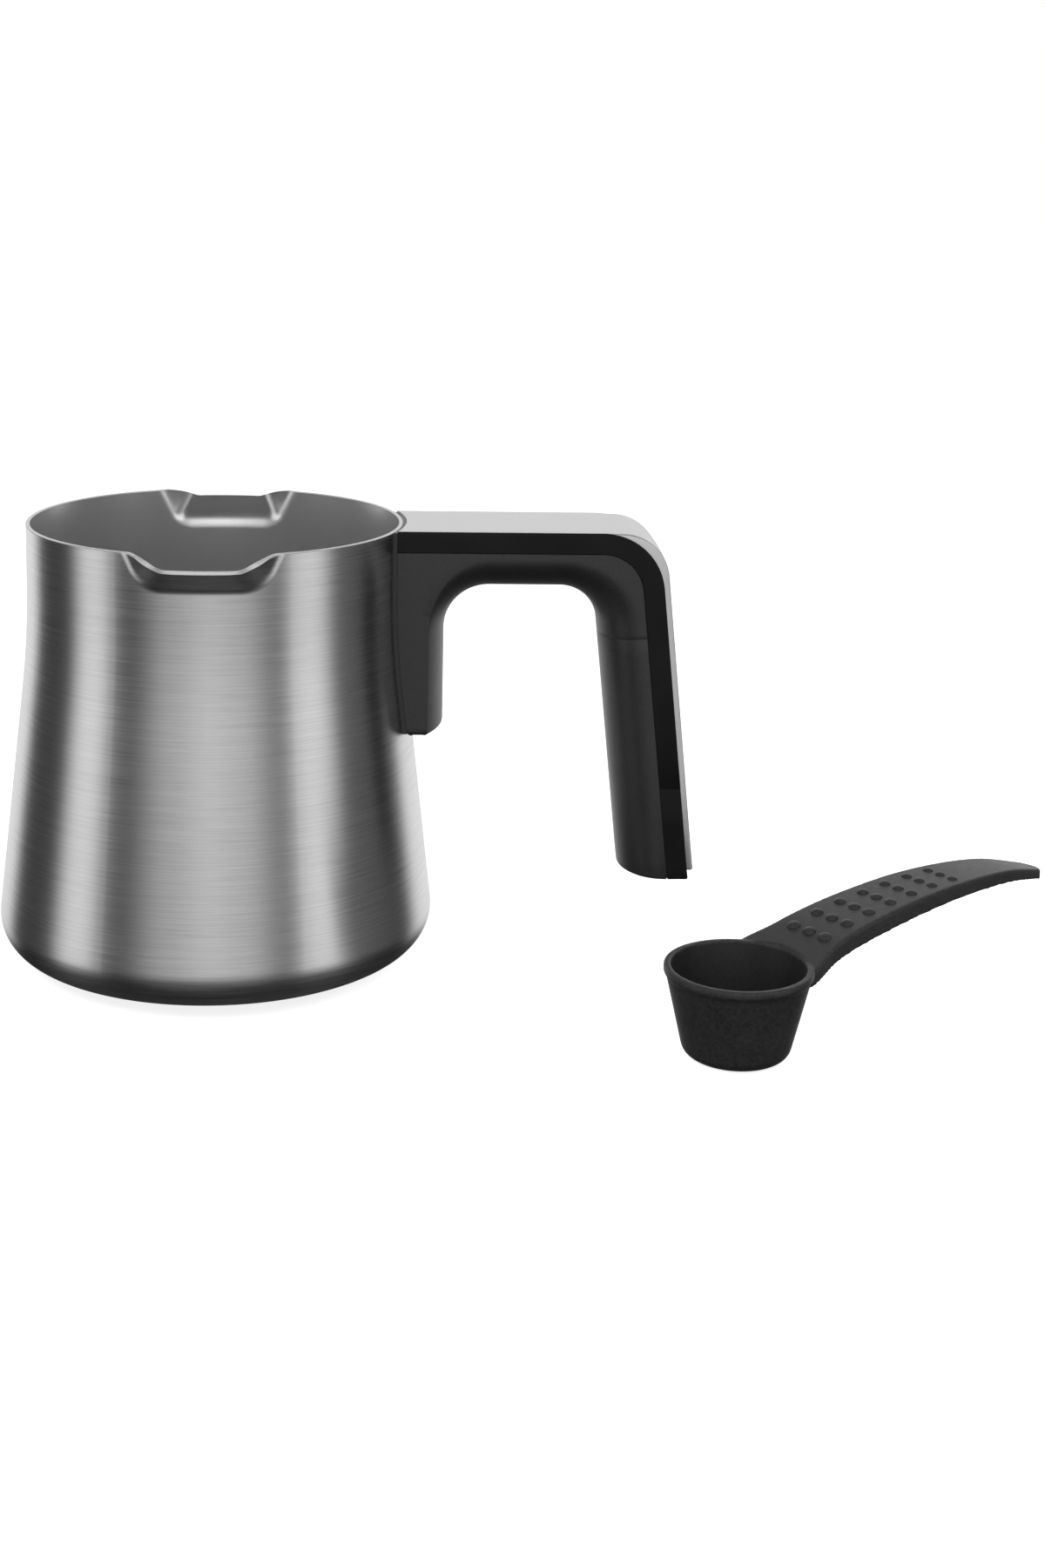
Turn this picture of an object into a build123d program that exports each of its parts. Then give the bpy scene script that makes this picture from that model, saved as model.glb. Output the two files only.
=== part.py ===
"""Coffee pot with a fixed side handle and a loose measuring scoop, in millimetres.

Frame: origin at the centre of the pot's underside, on the surface it stands on; +Z up, +X towards
the handle, the two pouring lips at -Y and +Y. Each function makes one piece, and every piece is
written as one STEP file in parts/.
"""

import os
from math import atan2, cos, hypot, radians, sin, sqrt, tan

from build123d import *

# ---------------------------------------------------------------- pot
RIM_RADIUS = 41.0  # outside, over the straight neck
BELLY_RADIUS = 48.1  # outside, where the wall meets the bottom corner
SHELL_HEIGHT = 96.0  # from the underside of the drawn bottom to the rim
NECK_HEIGHT = 24.5  # from the rim down to where the wall starts to widen
NECK_STRAIGHT = 13.24825  # straight part of the neck, below the rim
BOTTOM_CORNER = 8.6  # outside radius of the bottom corner
WALL = 0.9
RIM_ROUND = 0.3

CORE_RADIUS = 33.4  # aluminium disc under the bottom
CORE_THICKNESS = 2.0
CAP_WALL = 0.4  # steel dish round the disc
CAP_ROUND = 0.3

# ---------------------------------------------------------------- pouring lips
LIP_LENGTH = 4.5  # from the wall to the pouring edge
LIP_DIP = 2.5  # pouring edge below the rim
LIP_DEPTH = 7.4  # foot of the lip below the rim
LIP_HALF_SPAN = 15.6  # half width between the folds, at the rim
LIP_HALF_FOOT = 12.4  # the same at the foot of the lip
LIP_FLANK_ANGLE = 38.0  # between a flank and the pouring direction, in plan
LIP_CORNER = 3.2  # between a flank and the front, in plan
LIP_FOLD = 0.8  # radius of the folds on the outside of the wall
LIP_INNER_FOLD = 0.6  # and on its inside
LIP_CURVE_OUTER = 14.2  # half width where the rim starts to dip
LIP_CURVE_INNER = 8.2  # half width where it is level again
LIP_CURVE_RADIUS = 5.0
LIP_PLAN_INSIDE = 13.0  # the drawn lip runs from this far inside the wall
LIP_PLAN_OUTSIDE = 14.0  # to this far outside it

# ---------------------------------------------------------------- handle, side view
HANDLE_WIDTH = 26.2
HANDLE_LEAN = 6.2  # lean of the grip outwards, in degrees
HANDLE_REACH = 58.4  # from the neck to the band's outer face, HANDLE_REACH_DROP below the rim
HANDLE_REACH_DROP = 28.2
OUTER_CORNER = 13.6  # outer radius of the bend
BAND_DEPTH = 4.6  # gloss band, outer face to the matte body
ARCH_DEPTH = 9.1  # matte body over the fingers
GRIP_DEPTH = 10.0  # matte body along the grip
GAP_CORNER = 9.3  # corners of the finger gap
FOOT_THICKNESS = 6.86  # from the pot's wall at its lower end to the side that faces the fingers
FOOT_DROP = 45.2  # bottom of the foot below the rim
GRIP_DROP = 77.8  # bottom of the grip below the rim
BODY_PARTING_DROP = 24.2  # parting line of the matte grip, at the finger gap
BAND_PARTING_DROP = 56.9  # parting line of the gloss band
INNER_ROUND = 6.0  # rounding of the body's edges towards the fingers
END_ROUND = 1.0  # lower outer corner of the end cap

# ---------------------------------------------------------------- handle, inside
BAND_ROOF = 3.0
BAND_SKIRT = 1.8
BODY_WALL = 2.4
CAVITY_DEPTH = 5.5
CAVITY_START_GAP = 2.8  # from the foot's face to where the hollow starts
CAVITY_END_GAP = 4.0  # left solid at the lower end of the grip
CORE_STRIP_WIDTH = 12.0
CORE_STRIP_THICKNESS = 2.0
CORE_STRIP_PLAY = 0.5  # at both ends of the strip and inside its bend
TRIM_DEPTH = 1.05  # depth of the seat for the strip and its pads
PAD_THICKNESS = 0.15
PAD_MARGIN = 2.6
PAD_BEND = 15.0  # the pads stop this far from the outer corner
TRIM_EDGE = 0.35  # band left beside the strip
TRIM_PLAY = 0.05
TRIM_PROUD_TOP = 0.1
TRIM_PROUD_GRIP = 1.5
TRIM_CORNER = 10.6  # outer radius of the strip in the bend, where the strip is thickest

SCREW_RADIUS = 1.25
SCREW_HEAD_RADIUS = 2.3
SCREW_BITE = 2.6  # into the floor of the body
SLOT_LENGTH = 3.0
SLOT_WIDTH = 0.5
SLOT_DEPTH = 0.4
BOSS_RADIUS = 3.0
BOSS_PLAY = 0.4
HOLE_PLAY = 0.05
CLEARANCE_PLAY = 0.25
ARCH_SCREWS_REACH = (19.0, 35.0)  # from the neck to the screws under the top of the trim
GRIP_SCREW_DROP = 42.0  # through the band into the grip
CAP_SCREW_DROP = 67.0  # through the end cap into the grip

# ---------------------------------------------------------------- foot and its fixing
GASKET = 0.8
GASKET_MARGIN = 0.3
BRACKET_THICKNESS = 1.5
BRACKET_WIDTH = 16.0
BRACKET_PLAY = 0.3
HOOK_WIDTH = 9.0
HOOK_DROP = 10.4  # top of the hook below the rim
HOOK_LENGTH = 5.0  # from the neck to the outer side of the hook
HOOK_LIP = 3.5  # how far the hook reaches down
HOOK_TRAVEL = 3.4  # the handle goes on from below by this much
TAB_WIDTH = 10.0
TAB_THICKNESS = 2.4
TAB_LENGTH = 5.26  # from the pot's wall at the foot's lower end
FOOT_FLOOR = 6.0  # thickness of the foot below the tab
FOOT_SCREW_REACH = 3.56  # from the pot's wall at the foot's lower end to the screw's axis
FOOT_BORE_RADIUS = 2.3
FOOT_SCREW_HEAD_PLAY = 0.15
FOOT_SCREW_HEAD = 2.0
WASHER_PLAY = 0.1
WASHER_THICKNESS = 0.3
PLUG_THICKNESS = 1.2
PLUG_GAP = 0.2
PLUG_HOLLOW_RADIUS = 1.4

# ---------------------------------------------------------------- scoop
SCOOP_PLACE = (109.2, -60.0)  # centre of the bowl on the surface
SCOOP_TURN = 37.0  # direction of its handle, in degrees from +X
BOWL_RADIUS = 15.2
BOWL_BASE_RADIUS = 10.7
BOWL_HEIGHT = 19.0
BOWL_WALL = 1.4
BOWL_CORNER = 3.0
BOWL_RIM_WIDTH = 0.5
BOWL_RIM_HEIGHT = 1.5
BOWL_RIM_ROUND = 0.45
SCOOP_LENGTH = 95.0  # from the bowl's axis to the tip
SCOOP_SKIN = 1.8
SCOOP_HALF_WIDTHS = ((0.137, 10.5), (0.21, 8.8), (0.4, 7.8), (0.63, 6.8), (0.86, 5.1))
SCOOP_TIP_HALF_WIDTH = 3.3
SCOOP_TIP_BULGE = 1.6
SCOOP_ARCH = ((0.105, -0.6), (0.253, 3.4), (0.442, 5.7), (0.632, 6.4), (0.842, 5.1), (1.0, 1.7))
SCOOP_EDGES = (3.2, 3.8, 3.8, 3.4, 2.8, 2.2)  # height of the handle's sides at those places
DOME_COLUMNS = 7
DOME_ROWS = 3
DOME_START = 20.5
DOME_PITCH = 6.9
DOME_ACROSS = 4.3
DOME_SHRINK = 0.035  # share that each column is smaller than the one before
DOME_RADIUS = 1.45
DOME_HEIGHT = 0.75

# ---------------------------------------------------------------- derived
BASE_THICKNESS = CORE_THICKNESS + CAP_WALL
RIM_Z = BASE_THICKNESS + SHELL_HEIGHT
HALF_WIDTH = HANDLE_WIDTH / 2
SLOPE = atan2(BELLY_RADIUS - RIM_RADIUS, SHELL_HEIGHT - NECK_HEIGHT - BOTTOM_CORNER)
LEAN = radians(HANDLE_LEAN)
FOOT_Z = RIM_Z - FOOT_DROP
GRIP_Z = RIM_Z - GRIP_DROP
TAB_Z = FOOT_Z + FOOT_FLOOR
HOOK_Z = RIM_Z - HOOK_DROP
SHOULDER_RADIUS = (NECK_HEIGHT - NECK_STRAIGHT) / tan(SLOPE / 2)  # from the neck to the cone
LIP_REACH = RIM_RADIUS + LIP_LENGTH
LIP_PLAN_START = RIM_RADIUS - LIP_PLAN_INSIDE
LIP_PLAN_END = RIM_RADIUS + LIP_PLAN_OUTSIDE
FOOT_WALL_X = RIM_RADIUS + (FOOT_DROP - NECK_HEIGHT) * tan(SLOPE)
FOOT_FACE_X = FOOT_WALL_X + FOOT_THICKNESS
FOOT_SCREW_X = FOOT_WALL_X + FOOT_SCREW_REACH
FOOT_SCREW_HEAD_RADIUS = FOOT_BORE_RADIUS - FOOT_SCREW_HEAD_PLAY
WASHER_RADIUS = FOOT_BORE_RADIUS - WASHER_PLAY
TAB_REACH = FOOT_WALL_X + TAB_LENGTH
HOOK_REACH = RIM_RADIUS + HOOK_LENGTH
CAVITY_START_X = FOOT_FACE_X + CAVITY_START_GAP
LARGE = 400.0  # beyond the whole object
FUSE = 0.5  # pieces of one moulding reach this far into each other
NEAR = 0.05  # for finding edges by their place


def in_side_view(face, half_width):
    """A face drawn with x and z as its two coordinates, thickened to both sides of y = 0."""
    return extrude(Plane.XZ * face, amount=half_width, both=True)


def block(low, high):
    """The box between two corners."""
    size = [b - a for a, b in zip(low, high)]
    middle = [(a + b) / 2 for a, b in zip(low, high)]
    return Pos(*middle) * Box(*size)


def rounded_polygon(points, radii):
    """A polygon with a radius at each corner; 0 leaves the corner sharp."""
    face = make_face(Polyline(*points, close=True))
    for point, radius in zip(points, radii):
        if radius > 0:
            corner = face.vertices().sort_by_distance((point[0], point[1], 0))[0]
            face = fillet(corner, radius)
    return face


# ---------------------------------------------------------------- pot


def pot_form(grow, top):
    """The pot's outer form, grown by `grow` along its normal, solid, with its flat top at `top`."""
    cone = grow / cos(SLOPE)
    neck_z = RIM_Z - NECK_HEIGHT + (cone - grow) / tan(SLOPE)
    floor_z = BASE_THICKNESS - grow
    floor_radius = RIM_RADIUS + (RIM_Z - NECK_HEIGHT - floor_z) * tan(SLOPE) + cone
    profile = rounded_polygon(
        [
            (0, floor_z),
            (floor_radius, floor_z),
            (RIM_RADIUS + grow, neck_z),
            (RIM_RADIUS + grow, top),
            (0, top),
        ],
        [0, BOTTOM_CORNER + grow, SHOULDER_RADIUS - grow, 0, 0],
    )
    return revolve(Plane.XZ * profile, Axis.Z)


def lip_section(z, grow):
    """Plan of one pouring lip at height z: two flanks and a front round the pot's axis."""
    share = (RIM_Z - z) / LIP_DEPTH
    half_span = LIP_HALF_SPAN + (LIP_HALF_FOOT - LIP_HALF_SPAN) * share
    fall = (LIP_REACH - RIM_RADIUS) / (LIP_DEPTH - LIP_DIP)
    front = LIP_REACH + (z - RIM_Z + LIP_DIP) * fall + grow
    flank = radians(LIP_FLANK_ANGLE)
    wall_y = sqrt(RIM_RADIUS**2 - half_span**2)
    shift = grow / cos(flank)

    def half_width(y):
        return half_span + shift + (wall_y - y) * tan(flank)

    start = half_width(LIP_PLAN_START)
    end = half_width(LIP_PLAN_END)
    wedge = make_face(
        Polyline(
            (-start, LIP_PLAN_START),
            (start, LIP_PLAN_START),
            (end, LIP_PLAN_END),
            (-end, LIP_PLAN_END),
            close=True,
        )
    )
    section = wedge & Circle(front)
    corners = section.vertices().sort_by(Axis.Y)[-2:]
    section = fillet(corners, LIP_CORNER + grow)
    return Pos(0, 0, z) * section


def lip_form(grow):
    """One lip at +Y, from above the rim down to inside the wall."""
    above = RIM_Z + 2 * LIP_DIP
    below = RIM_Z - LIP_DEPTH - FUSE * 2
    return loft([lip_section(below, grow), lip_section(above, grow)], ruled=True)


def both_lips(grow):
    lip = lip_form(grow)
    return lip + Rot(0, 0, 180) * lip


def lip_folds(body, side):
    """Edges where the lips meet the wall, outside (side = 1) or inside (side = -1)."""
    radius = RIM_RADIUS if side > 0 else RIM_RADIUS - WALL
    folds = []
    for edge in body.edges():
        middle = edge @ 0.5
        points = [edge @ t for t in (0.1, 0.5, 0.9)]
        on_wall = all(abs(hypot(point.X, point.Y) - radius) < NEAR for point in points)
        near_lip = abs(middle.Y) > LIP_PLAN_START and abs(middle.X) < LIP_HALF_SPAN + 2 * WALL
        drop = RIM_Z - middle.Z
        if on_wall and near_lip and NEAR < drop < LIP_DEPTH + 2 * WALL:
            folds.append(edge)
    return folds


def rim_cutter():
    """Everything above the rim, with a smooth dip over each lip."""
    top = RIM_Z + 4 * LIP_DIP
    low = RIM_Z - LIP_DIP
    side = 2 * BELLY_RADIUS
    face = rounded_polygon(
        [
            (-side, RIM_Z),
            (-LIP_CURVE_OUTER, RIM_Z),
            (-LIP_CURVE_INNER, low),
            (LIP_CURVE_INNER, low),
            (LIP_CURVE_OUTER, RIM_Z),
            (side, RIM_Z),
            (side, top),
            (-side, top),
        ],
        [0, LIP_CURVE_RADIUS, LIP_CURVE_RADIUS, LIP_CURVE_RADIUS, LIP_CURVE_RADIUS, 0, 0, 0],
    )
    return in_side_view(face, side)


def rim_edges(shell):
    """The inner and outer edges of the rim, over the lips too, without the joints between faces."""
    lowest = RIM_Z - LIP_DIP - NEAR
    found = []
    for edge in shell.edges():
        at_rim = all((edge @ t).Z > lowest for t in (0, 0.5, 1))
        if at_rim and edge.length > WALL + NEAR:
            found.append(edge)
    return found


def pot_shell():
    top = RIM_Z + 2 * LIP_DIP
    outside = pot_form(0, top) + both_lips(0)
    outside = fillet(lip_folds(outside, 1), LIP_FOLD)
    inside = pot_form(-WALL, top + 1) + both_lips(-WALL)
    inside = fillet(lip_folds(inside, -1), LIP_INNER_FOLD)
    shell = outside - inside - rim_cutter()
    return fillet(rim_edges(shell), RIM_ROUND)


def base_core():
    return Pos(0, 0, CAP_WALL) * extrude(Circle(CORE_RADIUS), CORE_THICKNESS)


def base_cap():
    """Steel dish that encloses the disc and reaches up to the pot's bottom."""
    dish = extrude(Circle(CORE_RADIUS + CAP_WALL), BASE_THICKNESS)
    dish = fillet(dish.edges().sort_by(Axis.Z)[0], CAP_ROUND)
    return dish - Pos(0, 0, CAP_WALL) * extrude(Circle(CORE_RADIUS), BASE_THICKNESS)


# ---------------------------------------------------------------- handle lines in side view


def top_z(depth):
    """Height of the line `depth` inside the handle's outer line, along the top."""
    return RIM_Z - depth


def grip_x(z, depth):
    """x of the line `depth` inside the handle's outer line, down the grip."""
    outer_x = RIM_RADIUS + HANDLE_REACH + (RIM_Z - HANDLE_REACH_DROP - z) * tan(LEAN)
    return outer_x - depth / cos(LEAN)


def handle_strip(outer, inner, radii, start_x, end_z):
    """Side view of the strip between two lines of the handle, each given as its depths on top and
    along the grip, with their radii in the bend. It runs from start_x round the bend to end_z."""
    outer_z = top_z(outer[0])
    inner_z = top_z(inner[0])
    return rounded_polygon(
        [
            (start_x, outer_z),
            (grip_x(outer_z, outer[1]), outer_z),
            (grip_x(end_z, outer[1]), end_z),
            (grip_x(end_z, inner[1]), end_z),
            (grip_x(inner_z, inner[1]), inner_z),
            (start_x, inner_z),
        ],
        [0, radii[0], 0, 0, radii[1], 0],
    )


def even_strip(outer, inner, start_x, end_z):
    """The same with both depths alike on top and along the grip, round one centre in the bend."""
    radii = (OUTER_CORNER - outer, max(OUTER_CORNER - inner, CORE_STRIP_PLAY))
    return handle_strip((outer, outer), (inner, inner), radii, start_x, end_z)


def grip_level(drop, depth):
    """Plane across the grip, square to it, through its line at `depth`, `drop` below the rim."""
    z = RIM_Z - drop
    across = (cos(LEAN), 0, sin(LEAN))
    along = (-sin(LEAN), 0, cos(LEAN))
    return Plane(origin=(grip_x(z, depth), 0, z), x_dir=across, z_dir=along)


def screw_places():
    """(place, outward direction) of each screw under the trim, at the floor of the trim's seat."""
    places = [
        ((RIM_RADIUS + reach, 0, top_z(TRIM_DEPTH)), (0, 0, 1)) for reach in ARCH_SCREWS_REACH
    ]
    outward = (cos(LEAN), 0, sin(LEAN))
    for drop in (GRIP_SCREW_DROP, CAP_SCREW_DROP):
        z = RIM_Z - drop
        places.append(((grip_x(z, TRIM_DEPTH), 0, z), outward))
    return places


def along_screw(place, radius, start, end):
    """Cylinder on a screw's axis, from `start` to `end` below the floor of the trim's seat."""
    origin, outward = place
    plane = Plane(origin=origin, z_dir=outward)
    return plane * Pos(0, 0, -end) * extrude(Circle(radius), end - start)


# ---------------------------------------------------------------- handle pieces


def handle_outline():
    """Side view of the whole matte body: foot, arch and grip."""
    depth = BAND_DEPTH
    gap_top = top_z(depth + ARCH_DEPTH)
    gap_grip = depth + GRIP_DEPTH
    return rounded_polygon(
        [
            (0, top_z(depth)),
            (grip_x(top_z(depth), depth), top_z(depth)),
            (grip_x(GRIP_Z, depth), GRIP_Z),
            (grip_x(GRIP_Z, gap_grip), GRIP_Z),
            (grip_x(gap_top, gap_grip), gap_top),
            (FOOT_FACE_X, gap_top),
            (FOOT_FACE_X, FOOT_Z),
            (0, FOOT_Z),
        ],
        [0, OUTER_CORNER - BAND_DEPTH, 0, 0, GAP_CORNER, GAP_CORNER, 0, 0],
    )


def finger_edges(body):
    """The long edges of the body round the finger gap, on both sides."""
    depth = BAND_DEPTH
    gap_top = top_z(depth + ARCH_DEPTH)
    found = []
    for edge in body.edges():
        middle = edge @ 0.5
        on_side = all(abs(abs((edge @ t).Y) - HALF_WIDTH) < NEAR for t in (0, 0.5, 1))
        in_height = GRIP_Z + NEAR < middle.Z < gap_top + NEAR
        in_gap = FOOT_FACE_X - NEAR < middle.X < grip_x(middle.Z, depth + GRIP_DEPTH) + NEAR
        if on_side and in_height and in_gap:
            found.append(edge)
    return found


def matte_form():
    body = in_side_view(handle_outline(), HALF_WIDTH)
    body = fillet(finger_edges(body), INNER_ROUND)
    return body - pot_form(GASKET, RIM_Z + 1)


def body_cavity():
    """Hollow of the matte mouldings, open towards the gloss band."""
    outer = BAND_DEPTH - BAND_SKIRT
    inner = BAND_DEPTH + CAVITY_DEPTH
    face = even_strip(outer, inner, CAVITY_START_X, GRIP_Z + CAVITY_END_GAP)
    return in_side_view(face, HALF_WIDTH - BODY_WALL)


def body_bosses(places):
    """Bosses on the floor of the hollow, through the holes of the steel strip."""
    floor = BAND_DEPTH + CAVITY_DEPTH - TRIM_DEPTH
    start = floor - CORE_STRIP_THICKNESS
    return [along_screw(place, BOSS_RADIUS, start, floor + FUSE) for place in places]


def screw_holes(places):
    end = BAND_DEPTH + CAVITY_DEPTH - TRIM_DEPTH + SCREW_BITE + HOLE_PLAY
    return [along_screw(place, SCREW_RADIUS + HOLE_PLAY, 0, end) for place in places]


def grip_zone():
    """Everything below the grip's parting plane, on the grip's side of the finger gap."""
    plane = grip_level(BODY_PARTING_DROP, BAND_DEPTH + GRIP_DEPTH)
    below = plane * Pos(0, 0, -LARGE / 2) * Box(LARGE, LARGE, LARGE)
    middle_x = (FOOT_FACE_X + grip_x(RIM_Z - BODY_PARTING_DROP, BAND_DEPTH + GRIP_DEPTH)) / 2
    return below & block((middle_x, -LARGE, -LARGE), (LARGE, LARGE, LARGE))


def bracket_pocket():
    """Room in the foot for the bracket, open towards the pot."""
    play = BRACKET_PLAY
    plate = pot_form(BRACKET_THICKNESS + play, RIM_Z + 1) & block(
        (0, -BRACKET_WIDTH / 2 - play, TAB_Z), (LARGE, BRACKET_WIDTH / 2 + play, HOOK_Z + HOOK_TRAVEL)
    )
    hook = block(
        (0, -HOOK_WIDTH / 2 - play, HOOK_Z - BRACKET_THICKNESS - HOOK_LIP - play),
        (HOOK_REACH + play, HOOK_WIDTH / 2 + play, HOOK_Z + HOOK_TRAVEL),
    )
    tab = block(
        (0, -TAB_WIDTH / 2 - play, TAB_Z),
        (TAB_REACH + play, TAB_WIDTH / 2 + play, TAB_Z + TAB_THICKNESS + play),
    )
    inner = HOOK_REACH - BRACKET_THICKNESS - play
    rib = block(
        (0, -HOOK_WIDTH, HOOK_Z - BRACKET_THICKNESS - 2 * HOOK_LIP),
        (inner, HOOK_WIDTH, HOOK_Z - BRACKET_THICKNESS - play),
    )
    return plate + (hook - rib) + tab


def handle_body():
    body = matte_form() - grip_zone()
    body -= body_cavity()
    places = screw_places()[: len(ARCH_SCREWS_REACH)]
    for boss in body_bosses(places):
        body += boss
    for hole in screw_holes(places):
        body -= hole
    body -= bracket_pocket()
    seat_z = FOOT_Z + PLUG_THICKNESS + PLUG_GAP + FOOT_SCREW_HEAD + WASHER_THICKNESS
    bore = Pos(FOOT_SCREW_X, 0, FOOT_Z - 1) * extrude(Circle(FOOT_BORE_RADIUS), seat_z - FOOT_Z + 1)
    hole = Pos(FOOT_SCREW_X, 0, FOOT_Z) * extrude(Circle(SCREW_RADIUS + CLEARANCE_PLAY), FOOT_FLOOR + 1)
    return body - bore - hole


def grip_inner():
    body = matte_form() & grip_zone()
    body -= body_cavity()
    places = screw_places()[len(ARCH_SCREWS_REACH) :]
    for boss in body_bosses(places):
        body += boss
    for hole in screw_holes(places):
        body -= hole
    return body


def band_form():
    """The gloss band and its end cap in one piece, with the seat for the trim."""
    form = in_side_view(even_strip(0, BAND_DEPTH, 0, GRIP_Z), HALF_WIDTH)
    low_corner = (grip_x(GRIP_Z, 0), 0, GRIP_Z)
    form = fillet(form.edges().sort_by_distance(low_corner)[0], END_ROUND)
    hollow = even_strip(BAND_ROOF, BAND_DEPTH + FUSE, CAVITY_START_X, GRIP_Z + CAVITY_END_GAP)
    form -= in_side_view(hollow, HALF_WIDTH - BAND_SKIRT)
    seat = even_strip(-BAND_DEPTH, TRIM_DEPTH, 0, GRIP_Z + END_ROUND * 2)
    form -= in_side_view(seat, HALF_WIDTH - TRIM_EDGE)
    return form - pot_form(GASKET, RIM_Z + 1)


def band_bosses(places):
    """Spacers from the roof of the band down to the steel strip."""
    end = BAND_DEPTH + CAVITY_DEPTH - TRIM_DEPTH - CORE_STRIP_THICKNESS
    start = BAND_ROOF - TRIM_DEPTH - FUSE
    return [along_screw(place, BOSS_RADIUS, start, end) for place in places]


def head_cones(places):
    """Countersinks in the floor of the trim's seat."""
    depth = SCREW_HEAD_RADIUS - SCREW_RADIUS
    cones = []
    for origin, outward in places:
        plane = Plane(origin=origin, z_dir=outward)
        cones.append(plane * Pos(0, 0, -depth / 2) * Cone(SCREW_RADIUS, SCREW_HEAD_RADIUS, depth))
    return cones


def band_piece(form, places):
    for boss in band_bosses(places):
        form += boss
    for place in places:
        form -= along_screw(place, SCREW_RADIUS + CLEARANCE_PLAY, -FUSE, BAND_DEPTH + CAVITY_DEPTH)
    for cone in head_cones(places):
        form -= cone
    return form


def below_band_parting():
    return block((0, -LARGE, -LARGE), (LARGE, LARGE, RIM_Z - BAND_PARTING_DROP))


def handle_band():
    return band_piece(band_form() - below_band_parting(), screw_places()[:-1])


def band_end_cap():
    return band_piece(band_form() & below_band_parting(), screw_places()[-1:])


def top_trim():
    """Strip over the top and down the outer face, in its seat in the band."""
    inner = TRIM_DEPTH - PAD_THICKNESS
    end_z = GRIP_Z + END_ROUND * 2 + TRIM_PLAY
    radii = (TRIM_CORNER, OUTER_CORNER - inner)
    face = handle_strip((-TRIM_PROUD_TOP, -TRIM_PROUD_GRIP), (inner, inner), radii, 0, end_z)
    return in_side_view(face, HALF_WIDTH - TRIM_EDGE - TRIM_PLAY) - pot_form(GASKET, RIM_Z + 1)


def pad_layer():
    """The layer between the strip and the floor of its seat."""
    start_x = RIM_RADIUS + 2 * PAD_MARGIN
    face = even_strip(TRIM_DEPTH - PAD_THICKNESS, TRIM_DEPTH, start_x, GRIP_Z + 2 * PAD_MARGIN)
    return in_side_view(face, HALF_WIDTH - TRIM_EDGE - PAD_MARGIN)


def trim_pad_top():
    """Adhesive pad under the strip, on top."""
    return pad_layer() & block((0, -LARGE, 0), (grip_x(RIM_Z, 0) - PAD_BEND, LARGE, LARGE))


def trim_pad_grip():
    """Adhesive pad under the strip, down the grip."""
    return pad_layer() & block((0, -LARGE, 0), (LARGE, LARGE, RIM_Z - PAD_BEND))


def handle_core():
    """Steel strip on the floor of the hollow, with a hole round each boss."""
    outer = BAND_DEPTH + CAVITY_DEPTH - CORE_STRIP_THICKNESS
    face = even_strip(
        outer,
        BAND_DEPTH + CAVITY_DEPTH,
        CAVITY_START_X + CORE_STRIP_PLAY,
        GRIP_Z + CAVITY_END_GAP + CORE_STRIP_PLAY,
    )
    strip = in_side_view(face, CORE_STRIP_WIDTH / 2)
    for place in screw_places():
        strip -= along_screw(place, BOSS_RADIUS + BOSS_PLAY, 0, BAND_DEPTH + CAVITY_DEPTH)
    return strip


def countersunk_screw(place):
    end = BAND_DEPTH + CAVITY_DEPTH - TRIM_DEPTH + SCREW_BITE
    shank = along_screw(place, SCREW_RADIUS, 0, end)
    screw = shank + head_cones([place])[0]
    origin, outward = place
    slot = Plane(origin=origin, z_dir=outward) * Box(SLOT_LENGTH, SLOT_WIDTH, 2 * SLOT_DEPTH)
    return screw - slot


def arch_screws():
    """Two screws through the band into the arch."""
    return [countersunk_screw(place) for place in screw_places()[: len(ARCH_SCREWS_REACH)]]


def grip_screw():
    return countersunk_screw(screw_places()[-2])


def cap_screw():
    return countersunk_screw(screw_places()[-1])


# ---------------------------------------------------------------- foot


def foot_window(play):
    """Opening in the gasket for the bracket."""
    edge = BRACKET_WIDTH / 2 + play
    return block((0, -edge, TAB_Z - play), (LARGE, edge, HOOK_Z + HOOK_TRAVEL))


def handle_gasket():
    layer = pot_form(GASKET, RIM_Z - GASKET_MARGIN) - pot_form(0, RIM_Z + 1)
    edge = HALF_WIDTH - GASKET_MARGIN
    layer &= block((0, -edge, FOOT_Z + GASKET_MARGIN), (LARGE, edge, RIM_Z))
    return layer - foot_window(BRACKET_PLAY)


def handle_bracket():
    """Curved plate on the wall, with a hook above and a tapped tab below."""
    plate = pot_form(BRACKET_THICKNESS, RIM_Z + 1) - pot_form(0, RIM_Z + 2)
    plate &= block((0, -BRACKET_WIDTH / 2, TAB_Z), (LARGE, BRACKET_WIDTH / 2, HOOK_Z))
    hook_edge = HOOK_WIDTH / 2
    under = HOOK_Z - BRACKET_THICKNESS
    flange = block((0, -hook_edge, under), (HOOK_REACH, hook_edge, HOOK_Z))
    lip = block(
        (HOOK_REACH - BRACKET_THICKNESS, -hook_edge, under - HOOK_LIP),
        (HOOK_REACH, hook_edge, HOOK_Z),
    )
    tab = block((0, -TAB_WIDTH / 2, TAB_Z), (TAB_REACH, TAB_WIDTH / 2, TAB_Z + TAB_THICKNESS))
    arms = flange + lip + tab - pot_form(BRACKET_THICKNESS / 2, RIM_Z + 2)
    hole = extrude(Circle(SCREW_RADIUS + HOLE_PLAY), 2 * TAB_THICKNESS)
    return plate + arms - Pos(FOOT_SCREW_X, 0, TAB_Z - TAB_THICKNESS / 2) * hole


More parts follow.
